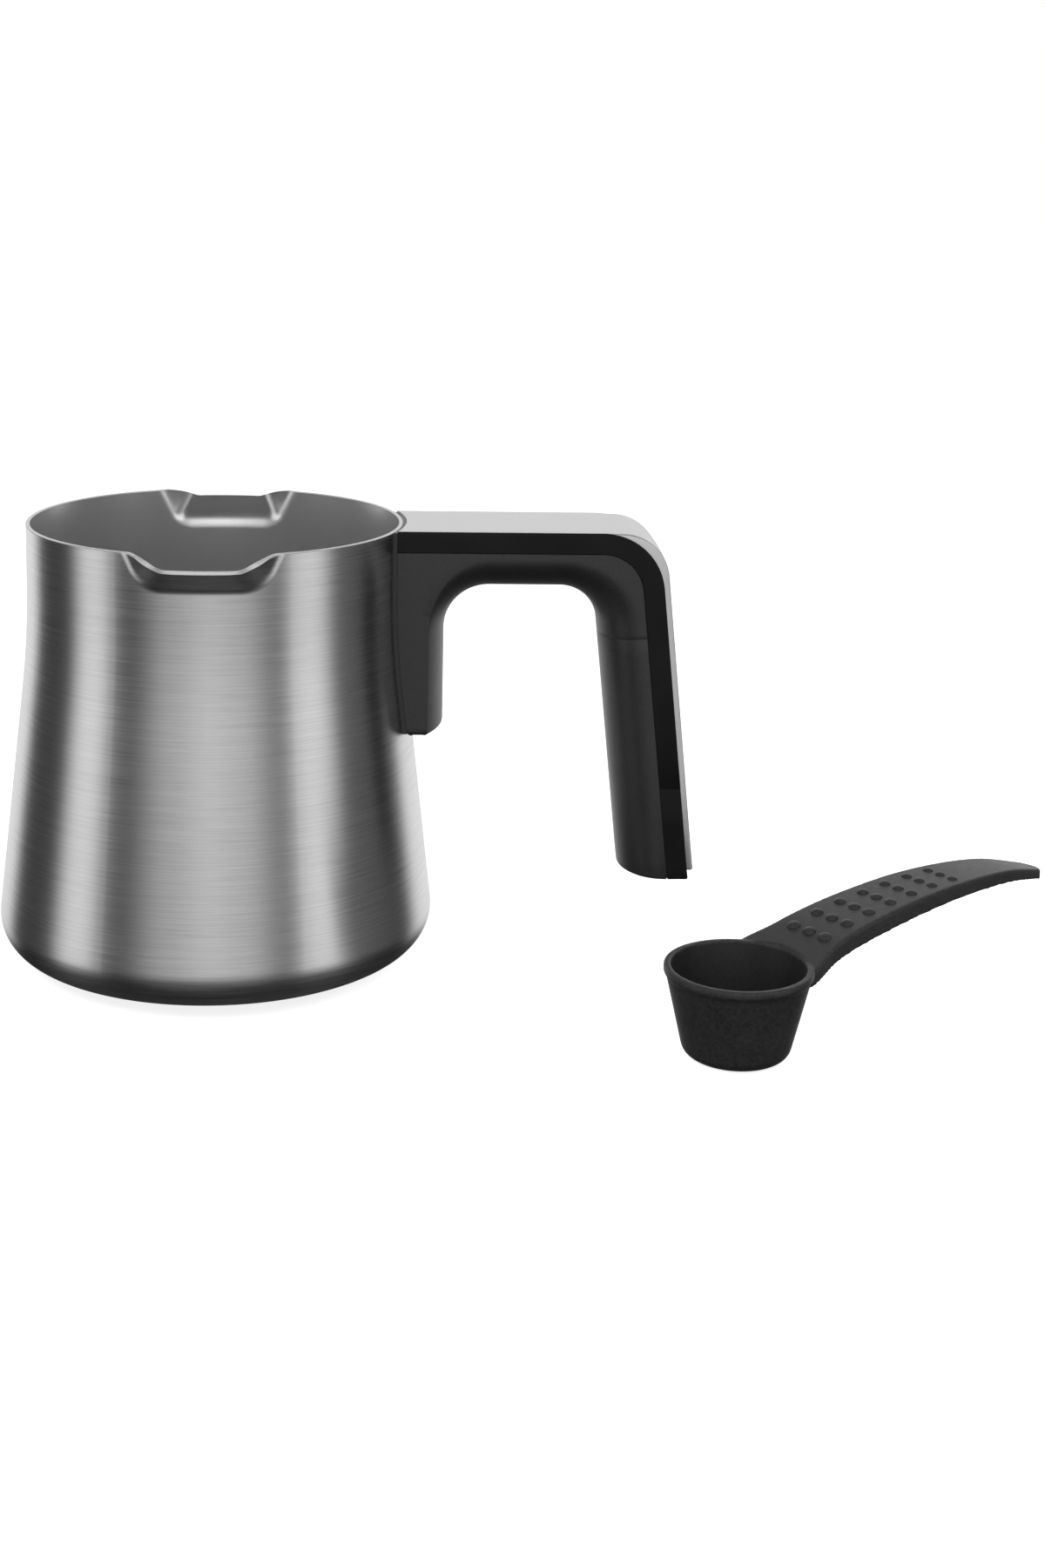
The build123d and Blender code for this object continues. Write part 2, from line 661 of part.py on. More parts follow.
def foot_screw():
    """Cheese-head screw that goes up through the foot into the bracket's tab."""
    head_z = FOOT_Z + PLUG_THICKNESS + PLUG_GAP
    head = Pos(FOOT_SCREW_X, 0, head_z) * extrude(Circle(FOOT_SCREW_HEAD_RADIUS), FOOT_SCREW_HEAD)
    shank = Pos(FOOT_SCREW_X, 0, head_z) * extrude(Circle(SCREW_RADIUS), TAB_Z + TAB_THICKNESS - head_z)
    socket = Pos(FOOT_SCREW_X, 0, head_z) * extrude(RegularPolygon(SCREW_RADIUS, 6), FOOT_SCREW_HEAD / 2)
    return head + shank - socket


def foot_washer():
    z = FOOT_Z + PLUG_THICKNESS + PLUG_GAP + FOOT_SCREW_HEAD
    ring = Circle(WASHER_RADIUS) - Circle(SCREW_RADIUS + HOLE_PLAY)
    return Pos(FOOT_SCREW_X, 0, z) * extrude(ring, WASHER_THICKNESS)


def foot_plug():
    """Disc that closes the bore, with a short hollow skirt."""
    disc = extrude(Circle(FOOT_BORE_RADIUS - HOLE_PLAY), PLUG_THICKNESS)
    hollow = Pos(0, 0, PLUG_THICKNESS / 2) * extrude(Circle(PLUG_HOLLOW_RADIUS), PLUG_THICKNESS)
    return Pos(FOOT_SCREW_X, 0, FOOT_Z) * (disc - hollow)


# ---------------------------------------------------------------- scoop


def bowl():
    """Tapered cup with a rolled rim."""
    top = BOWL_RADIUS - BOWL_RIM_WIDTH
    outer = rounded_polygon(
        [(0, 0), (BOWL_BASE_RADIUS, 0), (top, BOWL_HEIGHT), (0, BOWL_HEIGHT)], [0, BOWL_CORNER, 0, 0]
    )
    rim = rounded_polygon(
        [
            (0, BOWL_HEIGHT - BOWL_RIM_HEIGHT),
            (BOWL_RADIUS, BOWL_HEIGHT - BOWL_RIM_HEIGHT),
            (BOWL_RADIUS, BOWL_HEIGHT),
            (0, BOWL_HEIGHT),
        ],
        [0, BOWL_RIM_ROUND, BOWL_RIM_ROUND, 0],
    )
    return revolve(Plane.XZ * (outer + rim), Axis.Z)


def bowl_hollow():
    top = BOWL_RADIUS - BOWL_RIM_WIDTH
    taper = (top - BOWL_BASE_RADIUS) / BOWL_HEIGHT
    low = BOWL_BASE_RADIUS - BOWL_WALL + BOWL_WALL * taper
    rise = BOWL_HEIGHT + BOWL_CORNER
    high = low + (rise - BOWL_WALL) * taper
    hollow = rounded_polygon(
        [(0, BOWL_WALL), (low, BOWL_WALL), (high, rise), (0, rise)], [0, BOWL_CORNER, 0, 0]
    )
    return revolve(Plane.XZ * hollow, Axis.Z)


def scoop_arch(drop, edges):
    """Points (along, height) of the line below the handle's top line by `drop` and by that many
    times the height of its sides."""
    points = []
    for (share, rise), edge in zip(SCOOP_ARCH, SCOOP_EDGES):
        points.append((SCOOP_LENGTH * share, BOWL_HEIGHT + rise - drop - edges * edge))
    return points


def scoop_arch_band(drop_top, edges):
    """Side view of the arched handle from `drop_top` under its top line down to `edges` times the
    height of its sides."""
    top = scoop_arch(drop_top, 0)
    low = scoop_arch(0, edges)
    upper = Spline(*top)
    lower = Spline(*low)
    ends = [Line(top[0], low[0]), Line(top[-1], low[-1])]
    return make_face([upper, lower, *ends])


def scoop_plan(inset):
    """Plan of the handle, drawn along +X from the bowl's axis."""
    tip_x = SCOOP_LENGTH - inset
    side = [(SCOOP_LENGTH * share, half_width - inset) for share, half_width in SCOOP_HALF_WIDTHS]
    side.append((tip_x - SCOOP_TIP_BULGE, SCOOP_TIP_HALF_WIDTH - inset / 2))
    upper = Spline(*side)
    lower = Spline(*[(s, -half_width) for s, half_width in side])
    tip = ThreePointArc(upper @ 1, (tip_x, 0), lower @ 1)
    return make_face([upper, tip, lower, Line(lower @ 0, upper @ 0)])


def arch_height(s):
    """Height of the handle's top line, s along the handle."""
    curve = Spline(*scoop_arch(0, 0))
    low, high = 0.0, 1.0
    for _ in range(30):
        middle = (low + high) / 2
        if (curve @ middle).X < s:
            low = middle
        else:
            high = middle
    return (curve @ low).Y


def scoop_domes():
    """Rows of small domes on the handle, smaller towards its tip."""
    domes = []
    for column in range(DOME_COLUMNS):
        size = 1 - DOME_SHRINK * column
        s = DOME_START + DOME_PITCH * column
        z = arch_height(s)
        radius = DOME_RADIUS * size
        height = DOME_HEIGHT * size
        ball = (radius**2 + height**2) / (2 * height)
        for row in range(DOME_ROWS):
            y = (row - (DOME_ROWS - 1) / 2) * DOME_ACROSS * size
            domes.append(Pos(s, y, z + height - ball) * Sphere(ball))
    return domes


def scoop():
    height = 2 * BOWL_HEIGHT
    handle = in_side_view(scoop_arch_band(0, 1), BOWL_RADIUS) & extrude(scoop_plan(0), height)
    core = in_side_view(scoop_arch_band(SCOOP_SKIN, 3), BOWL_RADIUS)
    core &= extrude(scoop_plan(SCOOP_SKIN), height)
    room = in_side_view(scoop_arch_band(SCOOP_SKIN / 2, 1), BOWL_RADIUS)
    handle -= core - bowl()
    body = bowl() + handle
    for dome in scoop_domes():
        body += dome - room
    body -= bowl_hollow()
    return Pos(SCOOP_PLACE[0], SCOOP_PLACE[1], 0) * Rot(0, 0, SCOOP_TURN) * body


# ---------------------------------------------------------------- output

PIECES = {
    "pot_shell": pot_shell,
    "base_core": base_core,
    "base_cap": base_cap,
    "handle_bracket": handle_bracket,
    "handle_gasket": handle_gasket,
    "foot_screw": foot_screw,
    "foot_washer": foot_washer,
    "foot_plug": foot_plug,
    "handle_body": handle_body,
    "grip_inner": grip_inner,
    "handle_band": handle_band,
    "band_end_cap": band_end_cap,
    "top_trim": top_trim,
    "trim_pad_top": trim_pad_top,
    "trim_pad_grip": trim_pad_grip,
    "handle_core": handle_core,
    "arch_screws": arch_screws,
    "grip_screw": grip_screw,
    "cap_screw": cap_screw,
    "scoop": scoop,
}


def solids_of(shape):
    """All solids of a piece, as one compound if there are several."""
    shapes = shape if isinstance(shape, list) else [shape]
    found = [solid for each in shapes for solid in each.solids()]
    return found[0] if len(found) == 1 else Compound(children=found)


def main():
    os.makedirs("parts", exist_ok=True)
    for name, make in PIECES.items():
        piece = solids_of(make())
        export_step(piece, f"parts/{name}.step")
        print(f"{name}: {len(piece.solids())} solid(s), {piece.volume:.1f} mm3, valid {piece.is_valid}")


main()
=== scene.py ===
"""Looks of the coffee pot and its measuring scoop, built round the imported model.

Sizes in this script are millimetres in the model's own frame, and become metres as each mesh or
object is made: the pot stands on z = 0 round the Z axis, its handle points along +X, and its two
pouring lips face -Y and +Y.
"""

from math import acos, atan2, cos, pi, radians, sin, sqrt, tan

import bmesh
import bpy
from mathutils import Matrix, Vector


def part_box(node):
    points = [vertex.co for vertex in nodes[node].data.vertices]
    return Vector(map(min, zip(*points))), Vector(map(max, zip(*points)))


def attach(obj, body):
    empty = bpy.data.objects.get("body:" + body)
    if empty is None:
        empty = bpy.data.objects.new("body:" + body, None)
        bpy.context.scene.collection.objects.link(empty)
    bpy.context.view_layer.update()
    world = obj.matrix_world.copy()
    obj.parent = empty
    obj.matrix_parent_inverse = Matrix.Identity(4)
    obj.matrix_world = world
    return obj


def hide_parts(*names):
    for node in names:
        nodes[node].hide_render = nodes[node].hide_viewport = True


MM = 0.001
TINY = 1e-6

# ---- pot
RIM_RADIUS = 41.0
BELLY_RADIUS = 48.1
NECK_HEIGHT = 24.5
SHOULDER_RADIUS = 200.0  # between the neck and the cone below it
BOTTOM_CORNER = 8.6
WALL = 0.9
LIP_LENGTH = 4.5  # from the wall to the pouring edge
LIP_DIP = 2.5  # pouring edge below the rim
LIP_DEPTH = 7.4  # foot of the lip below the rim
LIP_HALF_SPAN = 15.6  # half width between the folds, at the rim
LIP_HALF_FOOT = 12.4  # the same at the foot of the lip
LIP_FLANK_ANGLE = radians(38.0)  # between a flank and the pouring direction, in plan
LIP_CORNER = 4.0  # blend between a flank and the front, outside
LIP_INNER_CORNER = 1.6  # the same inside
LIP_RIM_TILT = radians(38.0)  # the rim's own face leans outwards by this much over a lip
LIP_SLANT_TILT = radians(75.0)  # and by this much where the rim slants down into it
LIP_SLANT = 0.4  # slope of the rim at which that is reached
LIP_FOLD = 0.8  # blend between a lip's flanks and the wall
LIP_FOOT_FOLD = 0.8  # blend between a lip's front and the wall, outside
LIP_INNER_FOOT_FOLD = 2.0  # the same inside
LIP_SIDE = 0.75  # sine of the direction at which the wall starts to have a lip
LIP_CURVE_OUTER = 14.2  # half width where the rim starts to dip
LIP_CURVE_INNER = 8.2  # half width where it is level again
LIP_CURVE_RADIUS = 5.0
LIP_ZONE = 11.5  # height of the rows that follow the dip of the rim
LIP_SECTOR = radians(64.0)  # from this direction on the columns are closer
SLOPE_REACH = 0.5  # half the length over which the rim's slope is taken
RIM_ROUND = 0.3
RIM_FLATNESS = 4  # the higher, the flatter the rim's face
RIM_SHARES = (0.08, 0.22, 0.4, 0.6, 0.78, 0.92)  # places of the rings across the rim's face
BOTTOM_HUB = 0.4  # radius of the face in the middle of the bottom

# ---- handle
HALF_WIDTH = 13.1
LEAN = radians(6.2)
GRIP_OUTER_X = 99.4  # x of the grip's outer line
GRIP_OUTER_DROP = 28.2  # at this height below the rim
OUTER_CORNER = 13.6
BAND_DEPTH = 4.6
GASKET = 0.8
FOOT_DROP = 45.2  # lower end of the foot, below the rim
GRIP_DROP = 77.8  # and of the grip
BODY_PARTING_DROP = 24.2
BAND_PARTING_DROP = 56.9
FOOT_FACE_X = 50.2  # face of the foot towards the finger gap
GAP_TOP_DROP = 13.5  # underside of the arch, below the rim
GRIP_INNER_DEPTH = 14.6  # face towards the fingers, below the outer line
FOOT_CORNER = 9.9  # corners of the finger gap
GRIP_CORNER = 8.7
FOOT_ROUND_DEPTH = 3.55  # depth of the rounded front of each section
ARCH_ROUND_DEPTH = 7.5
GRIP_ROUND_DEPTH = 9.2
RAY_RANGE = (0.5, 60.0)  # the matte body's thickness lies between these
RAY_HALVINGS = 40
SIDE_LEAST = 0.5  # flat side always left behind the rounded front
SIDE_SHARES = (0.35, 0.7, 1.0)  # places of the points along that side
END_ROUND = 1.0  # edge at the lower end of the foot
GRIP_END_ROUND = 0.5  # and of the grip
EDGE_ROUND = 0.35
SEAM_ROUND = 0.14
CAP_SEAM_ROUND = 0.1
LEAST_COSINE = 0.5  # of half the turn at a corner, when a ring is inset
TRIM_EDGE = 0.35  # width of the band that shows beside the strip
TRIM_DEPTH = 1.05  # depth of the strip's seat
TRIM_UNDER = 0.9  # depth of the strip's underside
TRIM_PLAY = 0.05
TRIM_PROUD_TOP = 0.1  # the strip stands this much proud along the top
TRIM_PROUD_GRIP = 1.5  # and down the grip
TRIM_CORNER = 10.6  # outer radius of the strip in the bend
TRIM_CROWN = 0.2  # the strip is this much higher in its middle
TRIM_ROUND = 0.6
TRIM_END_DROP = 75.75  # lower end of the strip, below the rim
TRIM_END_ROUND = 0.5
SEAT_STEP = 0.002  # share of the end cap over which the seat closes

# Places along the band and the strip, from 0 at the pot
BEND_START = 1.0
BEND_END = 2.0
BAND_PARTING = 3.0
GRIP_END = 4.0
CAP_MIDDLE = 3.4

# ---- scoop
SCOOP_PLACE = (109.2, -60.0)
SCOOP_TURN = radians(37.0)
SCOOP_LENGTH = 95.0
BOWL_RADIUS = 15.2
BOWL_BASE_RADIUS = 10.7
BOWL_HEIGHT = 19.0
BOWL_WALL = 1.4
BOWL_CORNER = 3.0
BOWL_RIM_WIDTH = 0.5  # the rim stands this much out of the wall
BOWL_RIM_HEIGHT = 1.5
BOWL_RIM_ROUND = 0.4
BOWL_INNER_ROUND = 0.2
BOWL_EDGE = 0.4  # depth below the rim at which the painted shade inside the bowl starts
SCOOP_SKIN = 1.8
CHANNEL_LEAST = 0.1  # least depth of the hollow under the handle
# Along the handle, as shares of its length: half its width, the height of its top above the bowl's
# rim, and the height of its sides
SCOOP_HALF_WIDTHS = ((0.137, 10.5), (0.21, 8.8), (0.4, 7.8), (0.63, 6.8), (0.86, 5.1), (0.985, 3.3))
SCOOP_ARCH = ((0.105, -0.6), (0.253, 3.4), (0.442, 5.7), (0.632, 6.4), (0.842, 5.1), (1.0, 1.7))
SCOOP_EDGES = ((0.105, 3.2), (0.253, 3.8), (0.442, 3.8), (0.632, 3.4), (0.842, 2.8), (1.0, 2.2))
SCOOP_ROUND = 0.5  # edges of the handle's top
SCOOP_TIP_LENGTH = 3.0
SCOOP_TIP_PLAY = 0.05  # the tip ends this much short of its solid's
SCOOP_TIP_TURN = radians(85.0)  # how far round the tip its last section lies
DOME_COLUMNS = 7
DOME_ROWS = 3
DOME_START = 20.5
DOME_PITCH = 6.9
DOME_ACROSS = 4.3
DOME_SHRINK = 0.035  # share taken off from one column to the next
DOME_RADIUS = 1.45
DOME_HEIGHT = 0.75
DOME_CROWN = radians(4.0)  # the top of a dome is flat up to this angle
MOULD_GRID = 0.3  # grid on which the bowl and the handle are melted together
SOFTEN_FACTOR = 0.5
SOFTEN_ROUNDS = 2

# ---- mesh densities
SHARP_ANGLE = radians(35.0)  # edges with a greater angle are drawn sharp
ARC_STEP = radians(5.0)
ARC_LEAST = 3
BOTTOM_ROWS = 8
WALL_ROWS = 26
LIP_ROWS = 56
WALL_COLUMNS = 32
LIP_COLUMNS = 110
ROUND_STEPS = 4
SEAM_STEPS = 2
TRIM_ROUND_STEPS = 5
STRIP_COLUMNS = 6
STRAIGHT_ROWS = 2  # on each straight stretch of the band and the strip
BAND_BEND_ROWS = 20
TRIM_BEND_ROWS = 24
FOOT_ROWS = 12
FOOT_CORNER_ROWS = 12  # up to the band's inner corner at the pot
ARCH_CORNER_ROWS = 20  # and on to the arch
ARCH_ROWS = 6
GRIP_CORNER_ROWS = 20
GRIP_START_ROWS = 3
GRIP_ROWS = 14
FRONT_COLUMNS = 32
BACK_COLUMNS = 8
BOWL_COLUMNS = 120
CHANNEL_ROWS = 4
CHANNEL_COLUMNS = 14
SCOOP_ROWS = 60
TIP_ROWS = 8
DOME_RINGS = 8
DOME_POINTS = 28

# ---- camera, from the photograph
FRAME_HEIGHT = 1800.0
FRAME_WIDTH = 1200.0
FOCAL_PIXELS = 2664.94
PRINCIPAL = (546.0, 612.0)
CAMERA_PLACE = (36.35, -501.9, 190.9)
CAMERA_PITCH = 0.187
CAMERA_YAW = 0.041
CAMERA_ROLL = 0.017
SENSOR = 36.0

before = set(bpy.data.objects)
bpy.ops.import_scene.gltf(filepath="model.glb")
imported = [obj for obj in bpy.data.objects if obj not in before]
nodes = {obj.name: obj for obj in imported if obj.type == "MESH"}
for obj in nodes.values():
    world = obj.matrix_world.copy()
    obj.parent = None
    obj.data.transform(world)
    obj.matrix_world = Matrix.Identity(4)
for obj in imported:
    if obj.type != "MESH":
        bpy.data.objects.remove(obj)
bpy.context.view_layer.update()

rim_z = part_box("pot_shell")[1].z / MM
floor_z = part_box("pot_shell")[0].z / MM
slope = atan2(BELLY_RADIUS - RIM_RADIUS, rim_z - floor_z - NECK_HEIGHT - BOTTOM_CORNER)
zone_z = rim_z - LIP_ZONE
foot_z = rim_z - FOOT_DROP
grip_z = rim_z - GRIP_DROP


# ---- meshes


def new_mesh(name, points, faces):
    """An object from points in millimetres, smooth but for its sharp edges."""
    mesh = bpy.data.meshes.new(name)
    mesh.from_pydata([Vector(p) * MM for p in points], [], faces)
    mesh.validate()
    made = bmesh.new()
    made.from_mesh(mesh)
    bmesh.ops.recalc_face_normals(made, faces=made.faces)
    made.to_mesh(mesh)
    made.free()
    for polygon in mesh.polygons:
        polygon.use_smooth = True
    mesh.set_sharp_from_angle(angle=SHARP_ANGLE)
    piece = bpy.data.objects.new(name, mesh)
    bpy.context.scene.collection.objects.link(piece)
    return piece


def skin(rings, capped=False):
    """Points and faces of a surface through closed rings of equally many points."""
    count = len(rings[0])
    points = [p for ring in rings for p in ring]
    faces = []
    for row in range(len(rings) - 1):
        for k in range(count):
            after = (k + 1) % count
            faces.append(
                (row * count + k, row * count + after, (row + 1) * count + after, (row + 1) * count + k)
            )
    if capped:
        last = (len(rings) - 1) * count
        faces.append(tuple(range(count)))
        faces.append(tuple(last + k for k in range(count)))
    return points, faces


def steps(start, end, count):
    """count + 1 evenly spaced values from start to end."""
    return [start + (end - start) * k / count for k in range(count + 1)]


def mix(a, b, share):
    """The value a share of the way from a to b."""
    return a + (b - a) * share


def ease(share):
    """A share kept between 0 and 1, that starts and ends gently."""
    share = min(max(share, 0.0), 1.0)
    return share * share * (3 - 2 * share)


def rounded_line(corners, radii):
    """A line through 2-D corners with a radius at each, as closely spaced points on its arcs."""
    line = []
    for k, (corner, radius) in enumerate(zip(corners, radii)):
        here = Vector(corner)
        if radius <= 0 or k in (0, len(corners) - 1):
            line.append(here)
            continue
        back = (Vector(corners[k - 1]) - here).normalized()
        ahead = (Vector(corners[k + 1]) - here).normalized()
        half = acos(max(-1.0, min(1.0, back.dot(ahead)))) / 2
        centre = here + (back + ahead).normalized() * (radius / sin(half))
        first = here + back * (radius / tan(half)) - centre
        last = here + ahead * (radius / tan(half)) - centre
        turn = first.angle_signed(last)
        count = max(ARC_LEAST, int(abs(turn) / ARC_STEP) + 1)
        for share in steps(0.0, 1.0, count):
            line.append(centre + Matrix.Rotation(-turn * share, 2) @ first)
    return line


# ---- pot shell


def neck_end(grow):
    """Height at which the lines of the neck and of the cone below it cross."""
    return rim_z - NECK_HEIGHT + (grow / cos(slope) - grow) / tan(slope)


def wall_radius(z, grow):
    """Outer radius of the pot's wall above the bottom corner, grown along its normal."""
    corner_z = neck_end(grow)
    straight = RIM_RADIUS + grow
    radius = SHOULDER_RADIUS - grow
    reach = radius * tan(slope / 2)
    if z >= corner_z + reach:
        return straight
    if z <= corner_z - reach * cos(slope):
        return straight + (corner_z - z) * tan(slope)
    return straight + radius - sqrt(radius**2 - (corner_z + reach - z) ** 2)


def wall_profile(grow):
    """(r, z) from the middle of the bottom to the rim."""
    low = floor_z - grow
    corner_z = neck_end(grow)
    low_radius = RIM_RADIUS + grow + (corner_z - low) * tan(slope)
    corner = rounded_line(
        [(0.0, low), (low_radius, low), (RIM_RADIUS + grow, corner_z)],
        [0, BOTTOM_CORNER + grow, 0],
    )
    flat = [Vector((radius, low)) for radius in steps(BOTTOM_HUB, corner[1].x, BOTTOM_ROWS)[:-1]]
    bend = corner[1:-1]
    rows = steps(bend[-1].y, zone_z, WALL_ROWS)[1:] + steps(zone_z, rim_z, LIP_ROWS)[1:]
    return flat + bend + [Vector((wall_radius(z, grow), z)) for z in rows]


def smooth_greater(a, b, width):
    """The greater of two values, with a fillet of that width where they cross."""
    near = max(width - abs(a - b), 0.0) / width
    return max(a, b) + near * near * width / 4


def lip_radius(angle, z, grow):
    """Distance from the pot's axis to a lip's front or flank, in one direction at one height, grown
    along its normal."""
    drop = rim_z - z
    front = RIM_RADIUS + LIP_LENGTH * (LIP_DEPTH - drop) / (LIP_DEPTH - LIP_DIP) + grow
    half_span = mix(LIP_HALF_SPAN, LIP_HALF_FOOT, drop / LIP_DEPTH)
    slant = tan(LIP_FLANK_ANGLE)
    line = half_span + grow / cos(LIP_FLANK_ANGLE) + sqrt(RIM_RADIUS**2 - half_span**2) * slant
    flank = line / (abs(cos(angle)) + abs(sin(angle)) * slant)
    return -smooth_greater(-front, -flank, mix(LIP_CORNER, LIP_INNER_CORNER, -grow / WALL))


def lip_fold(sideways, grow):
    """Width of the blend with the wall, at a distance from the lip's middle."""
    foot_fold = mix(LIP_FOOT_FOLD, LIP_INNER_FOOT_FOLD, -grow / WALL)
    return mix(LIP_FOLD, foot_fold, ease((LIP_HALF_FOOT - sideways) / LIP_CORNER))


def lip_tilt(angle, z):
    """How far the wall leans outwards at the rim, as an angle."""
    if abs(sin(angle)) < LIP_SIDE or lip_radius(angle, z, 0.0) < RIM_RADIUS:
        return 0.0
    return atan2(lip_radius(angle, z, 0.0) - lip_radius(angle, z - WALL, 0.0), WALL)


def rim_tilt(top, slope_there):
    """The least tilt of the rim's face where the rim has dipped to one height, with one slope.
    It is reached halfway down the dip."""
    tilt = mix(LIP_RIM_TILT, LIP_SLANT_TILT, ease(slope_there / LIP_SLANT))
    return tilt * min(2 * (rim_z - top) / LIP_DIP, 1.0)


def rim_dip():
    """How far the rim dips over a lip, as points (distance from the lip's middle, dip)."""
    return rounded_line(
        [(0.0, LIP_DIP), (LIP_CURVE_INNER, LIP_DIP), (LIP_CURVE_OUTER, 0.0), (BELLY_RADIUS, 0.0)],
        [0, LIP_CURVE_RADIUS, LIP_CURVE_RADIUS, 0],
    )


def value_on(line, x):
    """The second coordinate of a line at a first coordinate."""
    for a, b in zip(line, line[1:]):
        if a.x <= x <= b.x:
            return mix(a.y, b.y, (x - a.x) / max(b.x - a.x, TINY))
    return line[-1].y


def pot_angles():
    """Directions round the pot, close together at the lips."""
    quarter = steps(0.0, LIP_SECTOR, WALL_COLUMNS) + steps(LIP_SECTOR, pi / 2, LIP_COLUMNS)[1:]
    half = quarter + [pi - a for a in reversed(quarter[:-1])]
    return half + [pi + a for a in half[1:-1]]


def rim_top(angle, dip):
    """Height of the rim in one direction."""
    if abs(sin(angle)) < LIP_SIDE:
        return rim_z
    return rim_z - value_on(dip, rim_sideways(angle))


def rim_sideways(angle):
    """Distance of the rim from the lip's middle, in one direction."""
    return abs(cos(angle)) * max(lip_radius(angle, rim_z, 0.0), RIM_RADIUS)


def rim_slope(angle, dip):
    """How steeply the rim slants down into a lip, in one direction."""
    if abs(sin(angle)) < LIP_SIDE:
        return 0.0
    sideways = rim_sideways(angle)
    return value_on(dip, max(sideways - SLOPE_REACH, 0.0)) - value_on(dip, sideways + SLOPE_REACH)


def pot_wall(grow, angles, dip):
    """Rings of the outer (grow 0) or inner (grow below 0) side of the pot, from the bottom up."""
    rings = []
    for radius, z in wall_profile(grow):
        ring = []
        for angle in angles:
            height = z
            here = radius
            if z > zone_z:
                top = rim_top(angle, dip)
                tilt = max(lip_tilt(angle, top), rim_tilt(top, rim_slope(angle, dip)))
                leaning = sin(tilt) * WALL / 2
                top += leaning if grow < 0 else -leaning
                height = zone_z + (z - zone_z) * (top - zone_z) / LIP_ZONE
                here = wall_radius(height, grow)
                if abs(sin(angle)) > LIP_SIDE:
                    fold = lip_fold(abs(cos(angle)) * here, grow)
                    here = smooth_greater(here, lip_radius(angle, height, grow), fold)
            ring.append(Vector((here * cos(angle), here * sin(angle), height)))
        rings.append(ring)
    return rings


def pot_mesh():
    """The drawn shell: outside, rounded rim and inside, and where its rim's points start and end."""
    angles = pot_angles()
    dip = rim_dip()
    outside = pot_wall(0.0, angles, dip)
    inside = pot_wall(-WALL, angles, dip)
    rim = []
    for share in RIM_SHARES:
        side = abs(2 * share - 1)
        lower = RIM_ROUND * side**RIM_FLATNESS
        ring = [
            Vector((mix(a.x, b.x, share), mix(a.y, b.y, share), mix(a.z, b.z, share) - lower))
            for a, b in zip(outside[-1], inside[-1])
        ]
        rim.append(ring)
    for ring in (outside[-1], inside[-1]):
        for point in ring:
            point.z -= RIM_ROUND
    rings = outside + rim + inside[::-1]
    points, faces = skin(rings, capped=True)
    count = len(angles)
    return points, faces, count * (len(outside) - 1), count * (len(outside) + len(rim))


# ---- handle lines

outward = Vector((cos(LEAN), sin(LEAN)))
outer_line = outward.dot(Vector((GRIP_OUTER_X, rim_z - GRIP_OUTER_DROP)))
trim_end = BAND_PARTING + (TRIM_END_DROP - BAND_PARTING_DROP) / (GRIP_DROP - BAND_PARTING_DROP)


def grip_point(z, depth):
    """The point in side view that lies `depth` inside the grip's outer line, at one height."""
    return Vector(((outer_line - depth - outward.y * z) / outward.x, z))


bend_centre = grip_point(rim_z - OUTER_CORNER, OUTER_CORNER)
body_parting = grip_point(rim_z - BODY_PARTING_DROP, GRIP_INNER_DEPTH)


def depth_of(point):
    """How deep a point in side view lies inside the handle's outer line."""
    away = point - bend_centre
    if LEAN <= atan2(away.y, away.x) <= pi / 2:
        return OUTER_CORNER - away.length
    if away.x <= 0:
        return rim_z - point.y
    return outer_line - outward.dot(point)


def pot_side_x(z, y):
    """x of the gasket's face that the handle sits against."""
    return sqrt(wall_radius(z, GASKET) ** 2 - y * y)


def bend_point(angle, depth, y):
    """A point in the bend, at one angle round its centre."""
    radius = OUTER_CORNER - depth
    return Vector((bend_centre.x + radius * cos(angle), y, bend_centre.y + radius * sin(angle)))


def strip_point(place, depth, y):
    """A point of the band or trim at one place along it, one depth and one y."""
    if place <= BEND_START:
        z = rim_z - depth
        start_x = pot_side_x(min(z, rim_z), y)
        return Vector((mix(start_x, bend_centre.x, place), y, z))
    if place <= BEND_END:
        return bend_point(mix(pi / 2, LEAN, place - BEND_START), depth, y)
    below = max(place - BAND_PARTING, 0.0)
    here = grip_point(mix(rim_z - BAND_PARTING_DROP, grip_z, below), depth)
    low = Vector((here.x, y, here.y))
    if place <= BAND_PARTING:
        return bend_point(LEAN, depth, y).lerp(low, place - BEND_END)
    return low


def outer_edge(y):
    """Points (depth, y) over the band's rounded outer edge, which ends at one y."""
    return [
        (EDGE_ROUND - EDGE_ROUND * sin(angle), y + EDGE_ROUND * cos(angle))
        for angle in steps(0.0, pi / 2, ROUND_STEPS)
    ]


def band_section():
    """(depth, y) round the gloss band: over its outer edges and the seat of the trim, then back
    along its inner side."""
    seat = HALF_WIDTH - TRIM_EDGE
    over = [(BAND_DEPTH / 2, HALF_WIDTH), *outer_edge(seat)]
    over += [(TRIM_DEPTH, y) for y in steps(seat, 0.0, STRIP_COLUMNS)]
    under = [(BAND_DEPTH - SEAM_ROUND, HALF_WIDTH)]
    under += [(BAND_DEPTH, y) for y in steps(HALF_WIDTH - SEAM_ROUND, 0.0, len(over) - 2)]
    return both_sides(over) + both_sides(under)[::-1]


def both_sides(half):
    """A line (depth, y) from one side to its middle, and on to its mirror image."""
    return half + [(depth, -y) for depth, y in reversed(half[:-1])]


